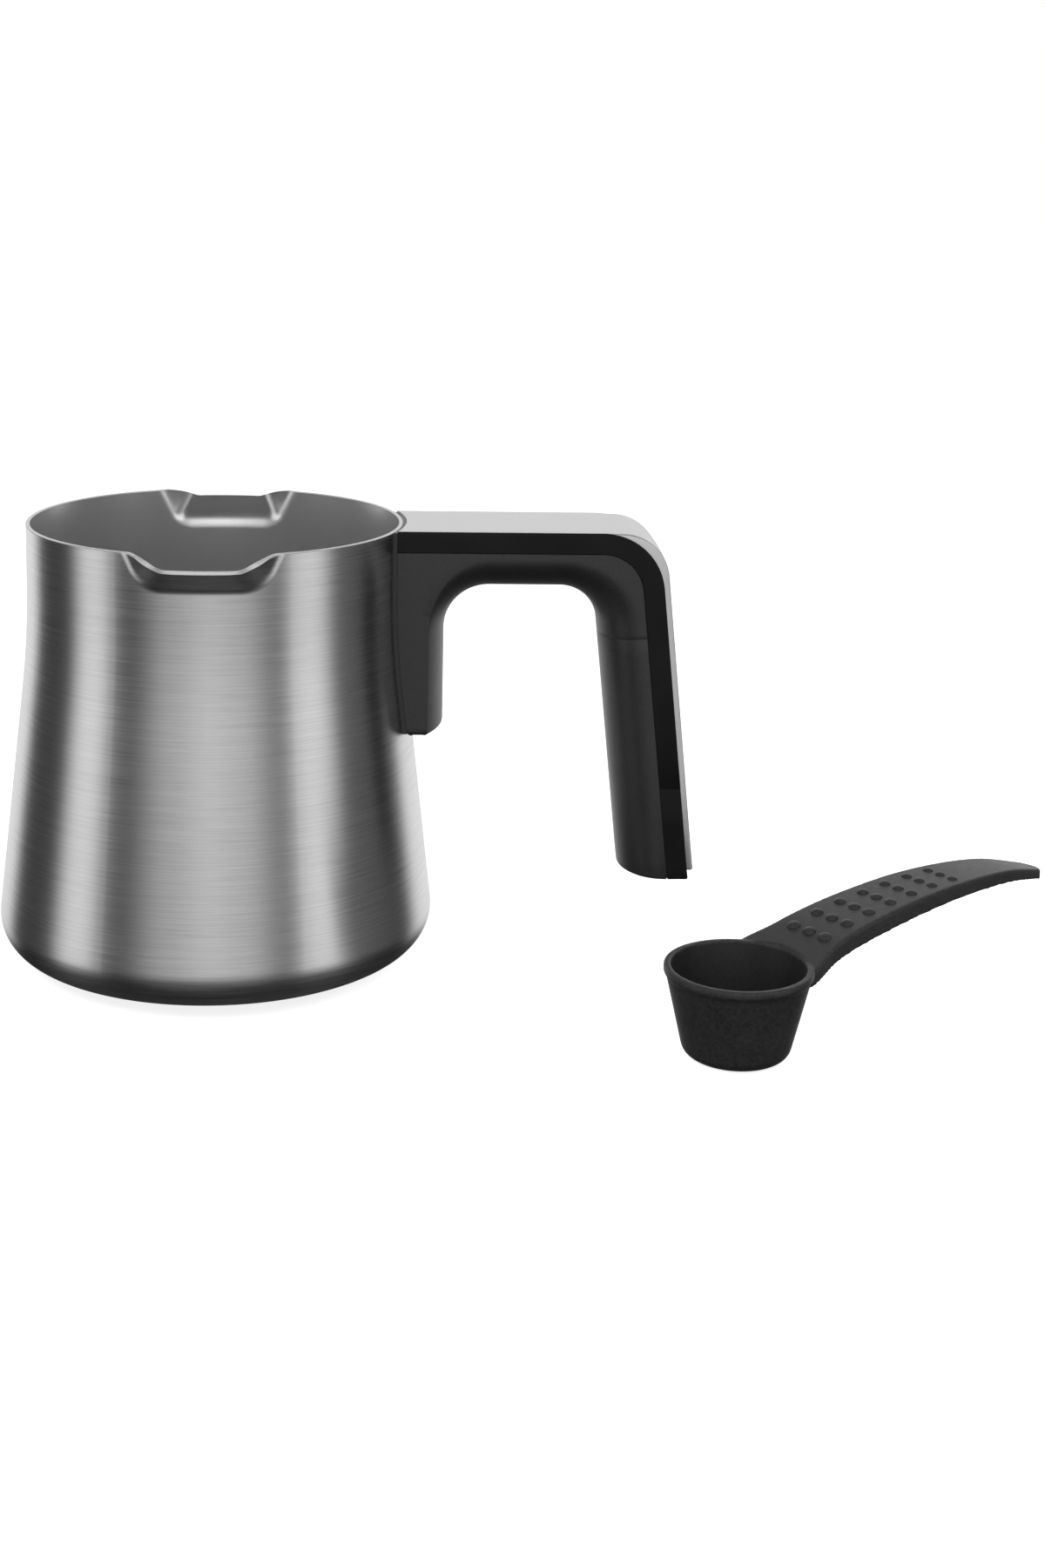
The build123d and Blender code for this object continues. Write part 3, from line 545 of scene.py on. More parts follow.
def trim_height(place):
    """How far the strip stands proud of the handle's outer line."""
    if place <= BEND_START:
        return TRIM_PROUD_TOP
    if place >= BEND_END:
        return TRIM_PROUD_GRIP
    angle = mix(pi / 2, LEAN, place - BEND_START)
    away = Vector((cos(angle), sin(angle)))
    top = rim_z + TRIM_PROUD_TOP
    side = outer_line + TRIM_PROUD_GRIP
    centre = grip_point(top - TRIM_CORNER, TRIM_CORNER - TRIM_PROUD_GRIP) - bend_centre
    ahead = away.dot(centre)
    arc = ahead + sqrt(ahead**2 - centre.length_squared + TRIM_CORNER**2)
    towards = away * arc - centre
    if LEAN <= atan2(towards.y, towards.x) <= pi / 2:
        return arc - OUTER_CORNER
    to_top = (top - bend_centre.y) / away.y
    to_side = (side - outward.dot(bend_centre)) / outward.dot(away)
    return min(to_top, to_side) - OUTER_CORNER


def trim_section(place):
    """(depth, y) round the trim strip, over its crowned top and back along its underside."""
    half_width = HALF_WIDTH - TRIM_EDGE - TRIM_PLAY
    height = trim_height(place)
    round_off = min(TRIM_ROUND, height)
    shoulder = max(height - TRIM_CROWN, round_off / 2)
    over = [(mix(TRIM_UNDER, round_off - shoulder, 0.5), half_width)]
    for angle in steps(0.0, pi / 2, TRIM_ROUND_STEPS):
        over.append((round_off * (1 - sin(angle)) - shoulder, half_width - round_off * (1 - cos(angle))))
    top_y = half_width - round_off
    for share in steps(1.0, 0.0, STRIP_COLUMNS)[1:]:
        over.append((-mix(height, shoulder, share**2), top_y * share))
    under = [(TRIM_UNDER, y) for y in steps(half_width, 0.0, len(over) - 1)]
    return both_sides(over) + both_sides(under)[::-1]


def strip_rings(section, places):
    """Rings of a strip along the handle. section is a list, or a function of the place."""
    rings = []
    for place in places:
        shape = section(place) if callable(section) else section
        rings.append([strip_point(place, depth, y) for depth, y in shape])
    return rings


def inset_ring(ring, amount):
    """A closed ring moved inwards in its own plane."""
    count = len(ring)
    centre = sum(ring, Vector()) / count
    normal = Vector()
    for k in range(count):
        normal += (ring[k] - centre).cross(ring[(k + 1) % count] - centre)
    normal.normalize()
    moved = []
    for k in range(count):
        before = (ring[k] - ring[k - 1]).normalized()
        after = (ring[(k + 1) % count] - ring[k]).normalized()
        inwards = normal.cross(before) + normal.cross(after)
        if inwards.length < TINY:
            moved.append(ring[k].copy())
            continue
        inwards.normalize()
        cosine = max(inwards.dot(normal.cross(after)), LEAST_COSINE)
        moved.append(ring[k] + inwards * amount / cosine)
    return moved


def rounded_end(rings, axis, radius, count=ROUND_STEPS):
    """Replaces the last ring by rings that round its edge. axis points out of the end."""
    last = rings[-1]
    made = []
    for share in steps(0.0, 1.0, count):
        angle = share * pi / 2
        back = radius * (1 - sin(angle))
        inset = radius * (1 - cos(angle))
        made.append([p - axis * back for p in inset_ring(last, inset)])
    return rings[:-1] + made


# ---- matte body


def finger_gap_stations():
    """(point on the finger gap's outline, direction into the material, role) along the gap, in side
    view, from the bottom of the foot to the body's parting line. The role is 0 in the foot, 1 in the
    arch and 2 in the grip."""
    foot_centre = Vector((FOOT_FACE_X + FOOT_CORNER, rim_z - GAP_TOP_DROP - FOOT_CORNER))
    grip_centre = grip_point(rim_z - GAP_TOP_DROP - GRIP_CORNER, GRIP_INNER_DEPTH + GRIP_CORNER)
    stations = []
    for z in steps(foot_z, foot_centre.y, FOOT_ROWS)[:-1]:
        stations.append((Vector((FOOT_FACE_X, z)), Vector((-1.0, 0.0)), 0.0))
    wall_corner = Vector((pot_side_x(rim_z - BAND_DEPTH, HALF_WIDTH), rim_z - BAND_DEPTH))
    to_corner = wall_corner - foot_centre
    corner_angle = atan2(to_corner.y, to_corner.x)
    angles = steps(pi, corner_angle, FOOT_CORNER_ROWS)[:-1]
    for angle in angles + steps(corner_angle, pi / 2, ARCH_CORNER_ROWS):
        away = Vector((cos(angle), sin(angle)))
        stations.append((foot_centre + away * FOOT_CORNER, away, (pi - angle) / (pi / 2)))
    for x in steps(foot_centre.x, grip_centre.x, ARCH_ROWS)[1:-1]:
        stations.append((Vector((x, rim_z - GAP_TOP_DROP)), Vector((0.0, 1.0)), 1.0))
    for angle in steps(pi / 2, LEAN, GRIP_CORNER_ROWS):
        away = Vector((cos(angle), sin(angle)))
        share = (pi / 2 - angle) / (pi / 2 - LEAN)
        stations.append((grip_centre + away * GRIP_CORNER, away, 1.0 + share))
    start = stations[-1][0]
    for share in steps(0.0, 1.0, GRIP_START_ROWS)[1:]:
        stations.append((start.lerp(body_parting, share), outward, 2.0))
    return stations


def ray_length(point, direction):
    """Distance along a ray from the finger gap to the band or to the pot's side."""
    low, high = RAY_RANGE
    for _ in range(RAY_HALVINGS):
        middle = (low + high) / 2
        here = point + direction * middle
        outside = depth_of(here) < BAND_DEPTH or here.x < pot_side_x(here.y, HALF_WIDTH)
        low, high = (low, middle) if outside else (middle, high)
    return low


def body_section(role, length):
    """(distance along the ray, y) round one section of the matte body."""
    if role <= 1:
        depth = mix(FOOT_ROUND_DEPTH, ARCH_ROUND_DEPTH, ease(role))
    else:
        depth = mix(ARCH_ROUND_DEPTH, GRIP_ROUND_DEPTH, ease(role - 1))
    arc = 1 - ease(role)
    depth = min(depth, length - SIDE_LEAST)
    front = []
    for angle in steps(-pi / 2, pi / 2, FRONT_COLUMNS):
        across = sin(angle)
        along = depth * mix(1 - sqrt(max(1 - across * across, 0.0)), across * across, arc)
        front.append((along, HALF_WIDTH * across))
    side = [mix(depth, length - SEAM_ROUND, share) for share in SIDE_SHARES]
    right = [(along, HALF_WIDTH) for along in side]
    seam_y = HALF_WIDTH - SEAM_ROUND
    back = [(length, y) for y in steps(seam_y, -seam_y, BACK_COLUMNS)]
    left = [(along, -HALF_WIDTH) for along in reversed(side)]
    return front + right + back + left


def body_ring(station):
    """One section of the matte body, cut to the gasket's face."""
    point, direction, role = station
    length = ray_length(point, direction)
    ring = []
    for along, y in body_section(role, length):
        here = point + direction * along
        x = max(here.x, pot_side_x(min(here.y, rim_z), y))
        ring.append(Vector((x, y, here.y)))
    return ring


def upper_body_mesh():
    """Foot, arch and the start of the grip in one moulding."""
    rings = [body_ring(station) for station in finger_gap_stations()]
    rings = rounded_end(rings[::-1], Vector((0, 0, -1)), END_ROUND)[::-1]
    down = Vector((outward.y, 0.0, -outward.x))
    rings = rounded_end(rings, down, SEAM_ROUND, SEAM_STEPS)
    return skin(rings, capped=True)


def lower_grip_mesh():
    """The grip below its parting line."""
    section = body_section(2.0, ray_length(body_parting, outward))
    rings = []
    for share in steps(0.0, 1.0, GRIP_ROWS):
        ring = []
        for along, y in section:
            top = body_parting + outward * along
            here = top.lerp(grip_point(grip_z, GRIP_INNER_DEPTH - along), share)
            ring.append(Vector((here.x, y, here.y)))
        rings.append(ring)
    up = Vector((-outward.y, 0.0, outward.x))
    rings = rounded_end(rings[::-1], up, SEAM_ROUND, SEAM_STEPS)[::-1]
    rings = rounded_end(rings, Vector((0, 0, -1)), GRIP_END_ROUND)
    return skin(rings, capped=True)


def strip_cap(first, count):
    """Faces between the two halves of a ring of `count` points that starts at index `first`."""
    return [
        (first + k, first + k + 1, first + count - k - 2, first + count - k - 1)
        for k in range(count // 2 - 1)
    ]


def capped_skin(rings):
    """Points and faces of a closed body whose rings run over its top and back underneath."""
    points, faces = skin(rings)
    count = len(rings[0])
    return points, faces + strip_cap(0, count) + strip_cap(count * (len(rings) - 1), count)


def strip_places(bend_rows):
    """Places of the rings from the pot to the band's parting line."""
    top = steps(0.0, BEND_START, STRAIGHT_ROWS)
    bend = steps(BEND_START, BEND_END, bend_rows)
    return top[:-1] + bend + steps(BEND_END, BAND_PARTING, STRAIGHT_ROWS)[1:]


def band_mesh():
    """The gloss band down to its parting line."""
    rings = strip_rings(band_section(), strip_places(BAND_BEND_ROWS))
    rings = rounded_end(rings, Vector((0, 0, -1)), CAP_SEAM_ROUND, SEAM_STEPS)
    return capped_skin(rings)


def end_cap_mesh():
    """The band's lower end, closed below the seat of the trim."""
    section = band_section()
    rings = strip_rings(section, [BAND_PARTING, CAP_MIDDLE, trim_end])
    closed = [(0.0 if depth == TRIM_DEPTH else depth, y) for depth, y in section]
    rings += strip_rings(closed, [trim_end + SEAT_STEP, GRIP_END])
    rings = rounded_end(rings[::-1], Vector((0, 0, 1)), CAP_SEAM_ROUND, SEAM_STEPS)[::-1]
    rings = rounded_end(rings, Vector((0, 0, -1)), GRIP_END_ROUND)
    return capped_skin(rings)


def trim_mesh():
    """The silver strip, from the pot down the grip."""
    places = strip_places(TRIM_BEND_ROWS) + steps(BAND_PARTING, trim_end, STRAIGHT_ROWS)[1:]
    rings = strip_rings(trim_section, places)
    rings = rounded_end(rings, Vector((0, 0, -1)), TRIM_END_ROUND)
    return capped_skin(rings)


# ---- scoop moulding


def smooth_through(points, x):
    """Value at x of a smooth curve through points (x, y), by the slopes between neighbours."""
    last = len(points) - 1
    k = 0
    while k < last - 1 and x > points[k + 1][0]:
        k += 1
    a, b = points[k], points[k + 1]
    before = points[max(k - 1, 0)]
    after = points[min(k + 2, last)]
    span = b[0] - a[0]
    start_slope = (b[1] - before[1]) / (b[0] - before[0])
    end_slope = (after[1] - a[1]) / (after[0] - a[0])
    t = (x - a[0]) / span
    value = (2 * t**3 - 3 * t**2 + 1) * a[1] + (3 * t**2 - 2 * t**3) * b[1]
    return value + span * ((t**3 - 2 * t**2 + t) * start_slope + (t**3 - t**2) * end_slope)


def scoop_top(along):
    """Height of the handle's top line."""
    return BOWL_HEIGHT + smooth_through(SCOOP_ARCH, along / SCOOP_LENGTH)


def scoop_half_width(along):
    return smooth_through(SCOOP_HALF_WIDTHS, along / SCOOP_LENGTH)


def bowl_mesh():
    """Tapered cup with a rolled rim, as a closed body."""
    top = BOWL_RADIUS - BOWL_RIM_WIDTH
    inner_top = top - BOWL_WALL + BOWL_RIM_WIDTH
    profile = rounded_line(
        [
            (0.0, 0.0),
            (BOWL_BASE_RADIUS, 0.0),
            (top, BOWL_HEIGHT - BOWL_RIM_HEIGHT - BOWL_RIM_WIDTH),
            (BOWL_RADIUS, BOWL_HEIGHT - BOWL_RIM_HEIGHT),
            (BOWL_RADIUS, BOWL_HEIGHT),
            (inner_top, BOWL_HEIGHT),
            (BOWL_BASE_RADIUS - BOWL_WALL, BOWL_WALL),
            (0.0, BOWL_WALL),
        ],
        [0, BOWL_CORNER, *[BOWL_RIM_ROUND] * 3, BOWL_INNER_ROUND, BOWL_CORNER, 0],
    )
    angles = steps(0, 2 * pi, BOWL_COLUMNS)[:-1]
    rings = []
    for radius, z in profile[1:-1]:
        rings.append([Vector((radius * cos(angle), radius * sin(angle), z)) for angle in angles])
    return skin(rings, capped=True)


def channel_section(half_width, edge):
    """(across, drop) over the handle's top and sides, and as many back along its underside."""
    over = []
    for drop in steps(edge, SCOOP_ROUND, CHANNEL_ROWS)[:-1]:
        over.append((-half_width, drop))
    for angle in steps(0.0, pi / 2, ROUND_STEPS):
        inset = SCOOP_ROUND * (1 - cos(angle))
        over.append((-half_width + inset, SCOOP_ROUND * (1 - sin(angle))))
    flat = half_width - SCOOP_ROUND
    middle = [(across, 0.0) for across in steps(-flat, flat, CHANNEL_COLUMNS)[1:-1]]
    over += middle + [(-across, drop) for across, drop in reversed(over)]
    narrower = (half_width - SCOOP_SKIN) / half_width
    shallower = max(edge - SCOOP_SKIN, CHANNEL_LEAST) / edge
    under = [(across * narrower, edge - (edge - drop) * shallower) for across, drop in over]
    return over + under[::-1]


def scoop_handle_mesh():
    """Arched handle from inside the bowl's wall to its rounded tip."""
    rings = []
    start = SCOOP_ARCH[0][0] * SCOOP_LENGTH
    tip_start = SCOOP_LENGTH - SCOOP_TIP_LENGTH - SCOOP_TIP_PLAY
    for along in steps(start, tip_start, SCOOP_ROWS):
        edge = smooth_through(SCOOP_EDGES, along / SCOOP_LENGTH)
        ring = []
        for across, drop in channel_section(scoop_half_width(along), edge):
            wall = sqrt(max(BOWL_RADIUS**2 - across**2, 0.0)) - BOWL_RIM_WIDTH - BOWL_WALL / 2
            here = max(along, wall)
            ring.append(Vector((here, across, scoop_top(here) - drop)))
        rings.append(ring)
    body = rings[-1]
    for angle in steps(0.0, SCOOP_TIP_TURN, TIP_ROWS)[1:]:
        here = tip_start + SCOOP_TIP_LENGTH * sin(angle)
        fall = scoop_top(here) - scoop_top(tip_start)
        rings.append([Vector((here, point.y * cos(angle), point.z + fall)) for point in body])
    return capped_skin(rings)


def dome_meshes():
    """Rows of small domes on the handle, smaller towards its tip."""
    for column in range(DOME_COLUMNS):
        size = 1 - DOME_SHRINK * column
        along = DOME_START + DOME_PITCH * column
        rise = (scoop_top(along + 1) - scoop_top(along - 1)) / 2
        for row in range(DOME_ROWS):
            across = (row - (DOME_ROWS - 1) / 2) * DOME_ACROSS * size
            rings = []
            for angle in steps(DOME_CROWN, pi / 2, DOME_RINGS):
                radius = DOME_RADIUS * size * sin(angle)
                up = DOME_HEIGHT * size * cos(angle)
                rings.append(dome_ring(along, across, radius, up, rise))
            rings.append(dome_ring(along, across, DOME_RADIUS * size, -SCOOP_SKIN / 2, rise))
            yield skin(rings, capped=True)


def dome_ring(along, across, radius, up, rise):
    """A circle of one dome, on the slope of the handle."""
    top = scoop_top(along)
    ring = []
    for angle in steps(0, 2 * pi, DOME_POINTS)[:-1]:
        off = radius * cos(angle)
        ring.append(Vector((along + off - up * rise, across + radius * sin(angle), top + off * rise + up)))
    return ring


def join_meshes(meshes):
    """Points and faces of several closed bodies in one list."""
    points, faces = [], []
    for more_points, more_faces in meshes:
        first = len(points)
        points += more_points
        faces += [tuple(first + k for k in face) for face in more_faces]
    return points, faces


def in_bowl_shade(point):
    """Whether a point of the scoop's surface lies inside its bowl, where the plastic is painted darker as
    shade.
    """
    wall = mix(BOWL_BASE_RADIUS, BOWL_RADIUS - BOWL_RIM_WIDTH, point.z / (BOWL_HEIGHT - BOWL_RIM_HEIGHT))
    away = point.xy - Vector(SCOOP_PLACE)
    return BOWL_WALL / 2 < point.z < BOWL_HEIGHT - BOWL_EDGE and away.length < wall - BOWL_WALL / 2


def scoop_piece():
    """The scoop in its place: bowl and handle melted into one moulding, with the domes on it."""
    points, faces = join_meshes([bowl_mesh(), scoop_handle_mesh()])
    rough = new_mesh("scoop_moulding", points, faces)
    melt = rough.modifiers.new("melt", "REMESH")
    melt.mode = "VOXEL"
    melt.voxel_size = MOULD_GRID * MM
    soften = rough.modifiers.new("soften", "SMOOTH")
    soften.factor = SOFTEN_FACTOR
    soften.iterations = SOFTEN_ROUNDS
    melted = bpy.data.meshes.new_from_object(rough.evaluated_get(bpy.context.evaluated_depsgraph_get()))
    bpy.data.objects.remove(rough)
    moulding = (
        [Vector((v.co.x / MM, v.co.y / MM, max(v.co.z / MM, 0.0))) for v in melted.vertices],
        [tuple(polygon.vertices) for polygon in melted.polygons],
    )
    points, faces = join_meshes([moulding, *dome_meshes()])
    turn = Matrix.Rotation(SCOOP_TURN, 3, "Z")
    place = Vector((*SCOOP_PLACE, 0.0))
    return new_mesh("scoop_visual", [turn @ p + place for p in points], faces)


# ---- materials


def node_maker(tree):
    """A function that adds a node with its inputs and settings to a tree."""

    def add(kind, inputs=None, **settings):
        node = tree.nodes.new(kind)
        for key, value in settings.items():
            setattr(node, key, value)
        for key, value in (inputs or {}).items():
            connect(tree, value, node.inputs[key])
        return node

    return add


def connect(tree, value, socket):
    """Links a node's output to a socket, or sets the socket to a plain value."""
    if isinstance(value, bpy.types.NodeSocket):
        tree.links.new(value, socket)
    else:
        socket.default_value = value


def new_material(name):
    """A material with only its output and principled shader, and a maker of linked nodes."""
    material = bpy.data.materials.new(name)
    material.use_nodes = True
    tree = material.node_tree
    tree.nodes.clear()
    output = tree.nodes.new("ShaderNodeOutputMaterial")
    shader = tree.nodes.new("ShaderNodeBsdfPrincipled")
    tree.links.new(shader.outputs["BSDF"], output.inputs["Surface"])

    def shade(**inputs):
        for key, value in inputs.items():
            connect(tree, value, shader.inputs[key.replace("_", " ")])

    return material, node_maker(tree), shade


def blotches(add, scale, detail=2.0, rough=0.5):
    """Cloudy noise about 0.5. The scale per metre is one number, or one for each axis."""
    place = add("ShaderNodeTexCoord").outputs["Object"]
    if isinstance(scale, tuple):
        scaled = add("ShaderNodeVectorMath", {0: place, 1: scale}, operation="MULTIPLY")
        place = scaled.outputs["Vector"]
        scale = 1.0
    settings = {"Vector": place, "Scale": scale, "Detail": detail, "Roughness": rough}
    return add("ShaderNodeTexNoise", settings).outputs["Fac"]


def ranged(add, value, low, high, start=0.3, end=0.7):
    """Maps a value, by default a noise, to a range."""
    node = add(
        "ShaderNodeMapRange",
        {"Value": value, "From Min": start, "From Max": end, "To Min": low, "To Max": high},
    )
    return node.outputs["Result"]


def maths(add, operation, a, b):
    return add("ShaderNodeMath", {0: a, 1: b}, operation=operation).outputs["Value"]


def times(add, a, b):
    return maths(add, "MULTIPLY", a, b)


def plus(add, a, b):
    return maths(add, "ADD", a, b)


def grey_of(add, value):
    node = add("ShaderNodeCombineColor", {"Red": value, "Green": value, "Blue": value})
    return node.outputs["Color"]


def bumped(add, height, strength, distance):
    """A normal bent by a height, with its depth in metres."""
    node = add("ShaderNodeBump", {"Height": height, "Strength": strength, "Distance": distance})
    return node.outputs["Normal"]


def brushed_steel():
    """Steel brushed round the pot, in long lines of two widths."""
    material, add, shade = new_material("brushed_steel")
    fine = blotches(add, (70.0, 70.0, 5200.0), detail=3.0)
    broad = blotches(add, (30.0, 30.0, 2600.0))
    cloud = blotches(add, 30.0)
    lines = plus(add, times(add, fine, 0.75), times(add, broad, 0.25))
    tone = plus(add, ranged(add, lines, 0.63, 0.88), ranged(add, cloud, -0.01, 0.01))
    tangent = add("ShaderNodeTangent", direction_type="RADIAL", axis="Z")
    shade(
        Base_Color=grey_of(add, tone),
        Metallic=1.0,
        Roughness=ranged(add, lines, 0.28, 0.35),
        Anisotropic=0.75,
        Anisotropic_Rotation=0.25,
        Tangent=tangent.outputs["Tangent"],
        Normal=bumped(add, lines, 0.06, 0.00005),
    )
    return material


def inner_steel():
    """Smooth satin steel of the pot's inside and of the cap under it."""
    material, add, shade = new_material("inner_steel")
    cloud = blotches(add, 60.0, detail=3.0)
    grain = blotches(add, 1800.0)
    shade(
        Base_Color=grey_of(add, ranged(add, cloud, 0.85, 0.88)),
        Metallic=0.91,
        Roughness=ranged(add, grain, 0.24, 0.27),
        Normal=bumped(add, grain, 0.03, 0.00002),
    )
    return material


def rim_steel():
    """Cut and deburred edge of the sheet, matter than its sides."""
    material, add, shade = new_material("rim_steel")
    grain = blotches(add, 1800.0)
    shade(
        Base_Color=grey_of(add, ranged(add, grain, 0.74, 0.82)),
        Metallic=0.6,
        Roughness=ranged(add, grain, 0.40, 0.48),
        Normal=bumped(add, grain, 0.04, 0.00002),
    )
    return material


def satin_trim():
    """Light satin silver with a very fine grain."""
    material, add, shade = new_material("satin_trim")
    grain = blotches(add, 1500.0)
    cloud = blotches(add, 40.0)
    tone = plus(add, ranged(add, grain, 0.74, 0.78), ranged(add, cloud, -0.01, 0.01))
    shade(
        Base_Color=grey_of(add, tone),
        Metallic=0.75,
        Roughness=ranged(add, grain, 0.34, 0.42),
        Normal=bumped(add, grain, 0.06, 0.00003),
    )
    return material


def gloss_plastic():
    """Polished black plastic with the faint waviness of a moulding and a few hairlines."""
    material, add, shade = new_material("gloss_plastic")
    wave = blotches(add, 90.0, detail=1.0)
    hairs = blotches(add, (2600.0, 2600.0, 60.0))
    shade(
        Base_Color=grey_of(add, ranged(add, wave, 0.011, 0.014)),
        Roughness=ranged(add, hairs, 0.18, 0.24),
        Specular_IOR_Level=0.06,
        Normal=bumped(add, wave, 0.04, 0.0003),
    )
    return material


def matte_plastic(name, tones, roughness, grain_size, strength, sheen):
    """Moulded plastic with a fine spark-eroded grain and slightly uneven sheen."""
    material, add, shade = new_material(name)
    grain = blotches(add, grain_size, detail=3.0, rough=0.6)
    cloud = blotches(add, 70.0)
    tone = plus(add, ranged(add, grain, *tones), ranged(add, cloud, -0.002, 0.002))
    rough = plus(add, ranged(add, grain, *roughness), ranged(add, cloud, -0.02, 0.02))
    shade(
        Base_Color=grey_of(add, tone),
        Roughness=rough,
        Sheen_Weight=sheen,
        Sheen_Roughness=0.3,
        Normal=bumped(add, grain, strength, 0.00006),
    )
    return material


def zinc():
    """Zinc-plated fittings with a faint mottled passivation."""
    material, add, shade = new_material("zinc")
    spangle = blotches(add, 700.0)
    shade(
        Base_Color=grey_of(add, ranged(add, spangle, 0.42, 0.55)),
        Metallic=1.0,
        Roughness=ranged(add, spangle, 0.28, 0.42),
    )
    return material


def paint(piece, *materials):
    piece.data.materials.clear()
    for material in materials:
        piece.data.materials.append(material)


# ---- stage

FLOOR_REACH = 3000.0
FLOOR_TONE = 0.8
FLOOR_GLOW = 0.78
# Lamps and the camera's range, in metres and watts
LAMP_TARGET = (0.04, 0.0, 0.05)
LAMP_SIZE = 0.8
LAMPS = (("key_lamp", (-0.5, -0.6, 1.1), 9.0), ("fill_lamp", (0.8, -0.3, 0.9), 5.0))
NEAREST_SEEN = 0.01
FURTHEST_SEEN = 100.0

# The studio as the object sees it: the level of soft panels round it, by azimuth in degrees from
# the camera's side, towards the handle above 0, and how high they reach; a panel higher up on the
# camera's side; and behind the object, the light from below and from overhead.
PANELS = (
    (-180, 0.90),
    (-139, 0.90),
    (-123, 0.05),
    (-94, 0.05),
    (-79, 1.00),
    (-69, 1.00),
    (-55, 0.10),
    (-47, 0.09),
    (-22, 0.53),
    (0, 0.77),
    (17, 0.64),
    (42, 0.17),
    (54, 0.97),
    (66, 1.00),
    (82, 0.13),
    (121, 0.06),
    (139, 0.90),
    (180, 0.90),
)
PANEL_HEIGHTS = ((-90, 0.0), (-29, 0.0), (-18, 1.0), (36, 1.0), (46, 0.0), (90, 0.0))
FRONT = ((-180, 0.0), (-75, 0.0), (-40, 1.0), (40, 1.0), (75, 0.0), (180, 0.0))
FRONT_HEIGHTS = ((-90, 0.0), (10, 0.0), (24, 0.28), (38, 0.28), (48, 0.0), (90, 0.0))
BACK = ((-180, 1.0), (-110, 1.0), (-70, 0.0), (70, 0.0), (110, 1.0), (180, 1.0))
OVERHEAD = ((-90, 0.02), (-40, 0.02), (-30, 0.0), (68, 0.0), (80, 0.95), (90, 0.95))


def level_ramp(add, value, stops):
    """A grey level from a value of 0 to 1, eased between stops (position, level)."""
    node = add("ShaderNodeValToRGB", {"Fac": value})
    points = node.color_ramp.elements
    node.color_ramp.interpolation = "EASE"
    while len(points) < len(stops):
        points.new(0.5)
    for point, (position, level) in zip(points, stops):
        point.position = position
        point.color = (level, level, level, 1.0)
    return node.outputs["Color"]


def by_azimuth(stops):
    """Stops of a ramp that runs from azimuth -180 to 180."""
    return [((turn + 180) / 360, level) for turn, level in stops]


def by_elevation(stops):
    """Stops of a ramp that runs over the sine of the elevation, from -1 to 1."""
    return [((sin(radians(rise)) + 1) / 2, level) for rise, level in stops]


def studio_world():
    """White to the camera, and a ring of soft panels to everything else."""
    sky = bpy.data.worlds.new("studio")
    sky.use_nodes = True
    bpy.context.scene.world = sky
    sky.node_tree.nodes.clear()
    add = node_maker(sky.node_tree)
    direction = add("ShaderNodeTexCoord").outputs["Generated"]
    split = add("ShaderNodeSeparateXYZ", {"Vector": direction})
    forward = times(add, split.outputs["Y"], -1.0)
    azimuth = maths(add, "ARCTAN2", split.outputs["X"], forward)
    around = ranged(add, azimuth, 0.0, 1.0, start=-pi, end=pi)
    upward = ranged(add, split.outputs["Z"], 0.0, 1.0, start=-1.0, end=1.0)
    seen = 0.0
    for turns, heights in ((PANELS, PANEL_HEIGHTS), (FRONT, FRONT_HEIGHTS), (BACK, OVERHEAD)):
        sideways = level_ramp(add, around, by_azimuth(turns))
        level = times(add, sideways, level_ramp(add, upward, by_elevation(heights)))
        seen = plus(add, seen, level)
    studio = add("ShaderNodeBackground", {"Color": grey_of(add, seen)})
    white = add("ShaderNodeBackground", {"Color": (1.0, 1.0, 1.0, 1.0)})
    choose = add("ShaderNodeMixShader", {0: direct_view(add)})
    sky.node_tree.links.new(studio.outputs["Background"], choose.inputs[1])
    sky.node_tree.links.new(white.outputs["Background"], choose.inputs[2])
    add("ShaderNodeOutputWorld", {"Surface": choose.outputs["Shader"]})


def direct_view(add):
    """1 for what the camera sees, straight or through glass."""
    paths = add("ShaderNodeLightPath").outputs
    return maths(add, "MAXIMUM", paths["Is Camera Ray"], paths["Is Transmission Ray"])


def floor():
    """White floor that takes the object's shadow. The studio's own lower half stands for its light."""
    corners = ((-1, -1), (1, -1), (1, 1), (-1, 1))
    points = [Vector((x * FLOOR_REACH, y * FLOOR_REACH, 0.0)) for x, y in corners]
    plane = new_mesh("floor", points, [(0, 1, 2, 3)])
    material = bpy.data.materials.new("white_floor")
    material.use_nodes = True
    tree = material.node_tree
    tree.nodes.clear()
    add = node_maker(tree)
    surface = add("ShaderNodeBsdfDiffuse", {"Color": (FLOOR_TONE, FLOOR_TONE, FLOOR_TONE, 1.0)})
    glow = add("ShaderNodeEmission", {"Strength": times(add, direct_view(add), FLOOR_GLOW)})
    total = add("ShaderNodeAddShader", {0: surface.outputs["BSDF"], 1: glow.outputs["Emission"]})
    add("ShaderNodeOutputMaterial", {"Surface": total.outputs["Shader"]})
    paint(plane, material)
    plane.visible_glossy = False
    plane.visible_diffuse = False
    plane.visible_shadow = False


def lamp(name, place, power):
    """A soft square lamp that points at the middle of the object."""
    data = bpy.data.lights.new(name, "AREA")
    data.shape = "SQUARE"
    data.size = LAMP_SIZE
    data.energy = power
    light = bpy.data.objects.new(name, data)
    light.location = Vector(place)
    light.rotation_mode = "QUATERNION"
    light.rotation_quaternion = (Vector(LAMP_TARGET) - light.location).to_track_quat("-Z", "Y")
    light.visible_glossy = False
    bpy.context.scene.collection.objects.link(light)


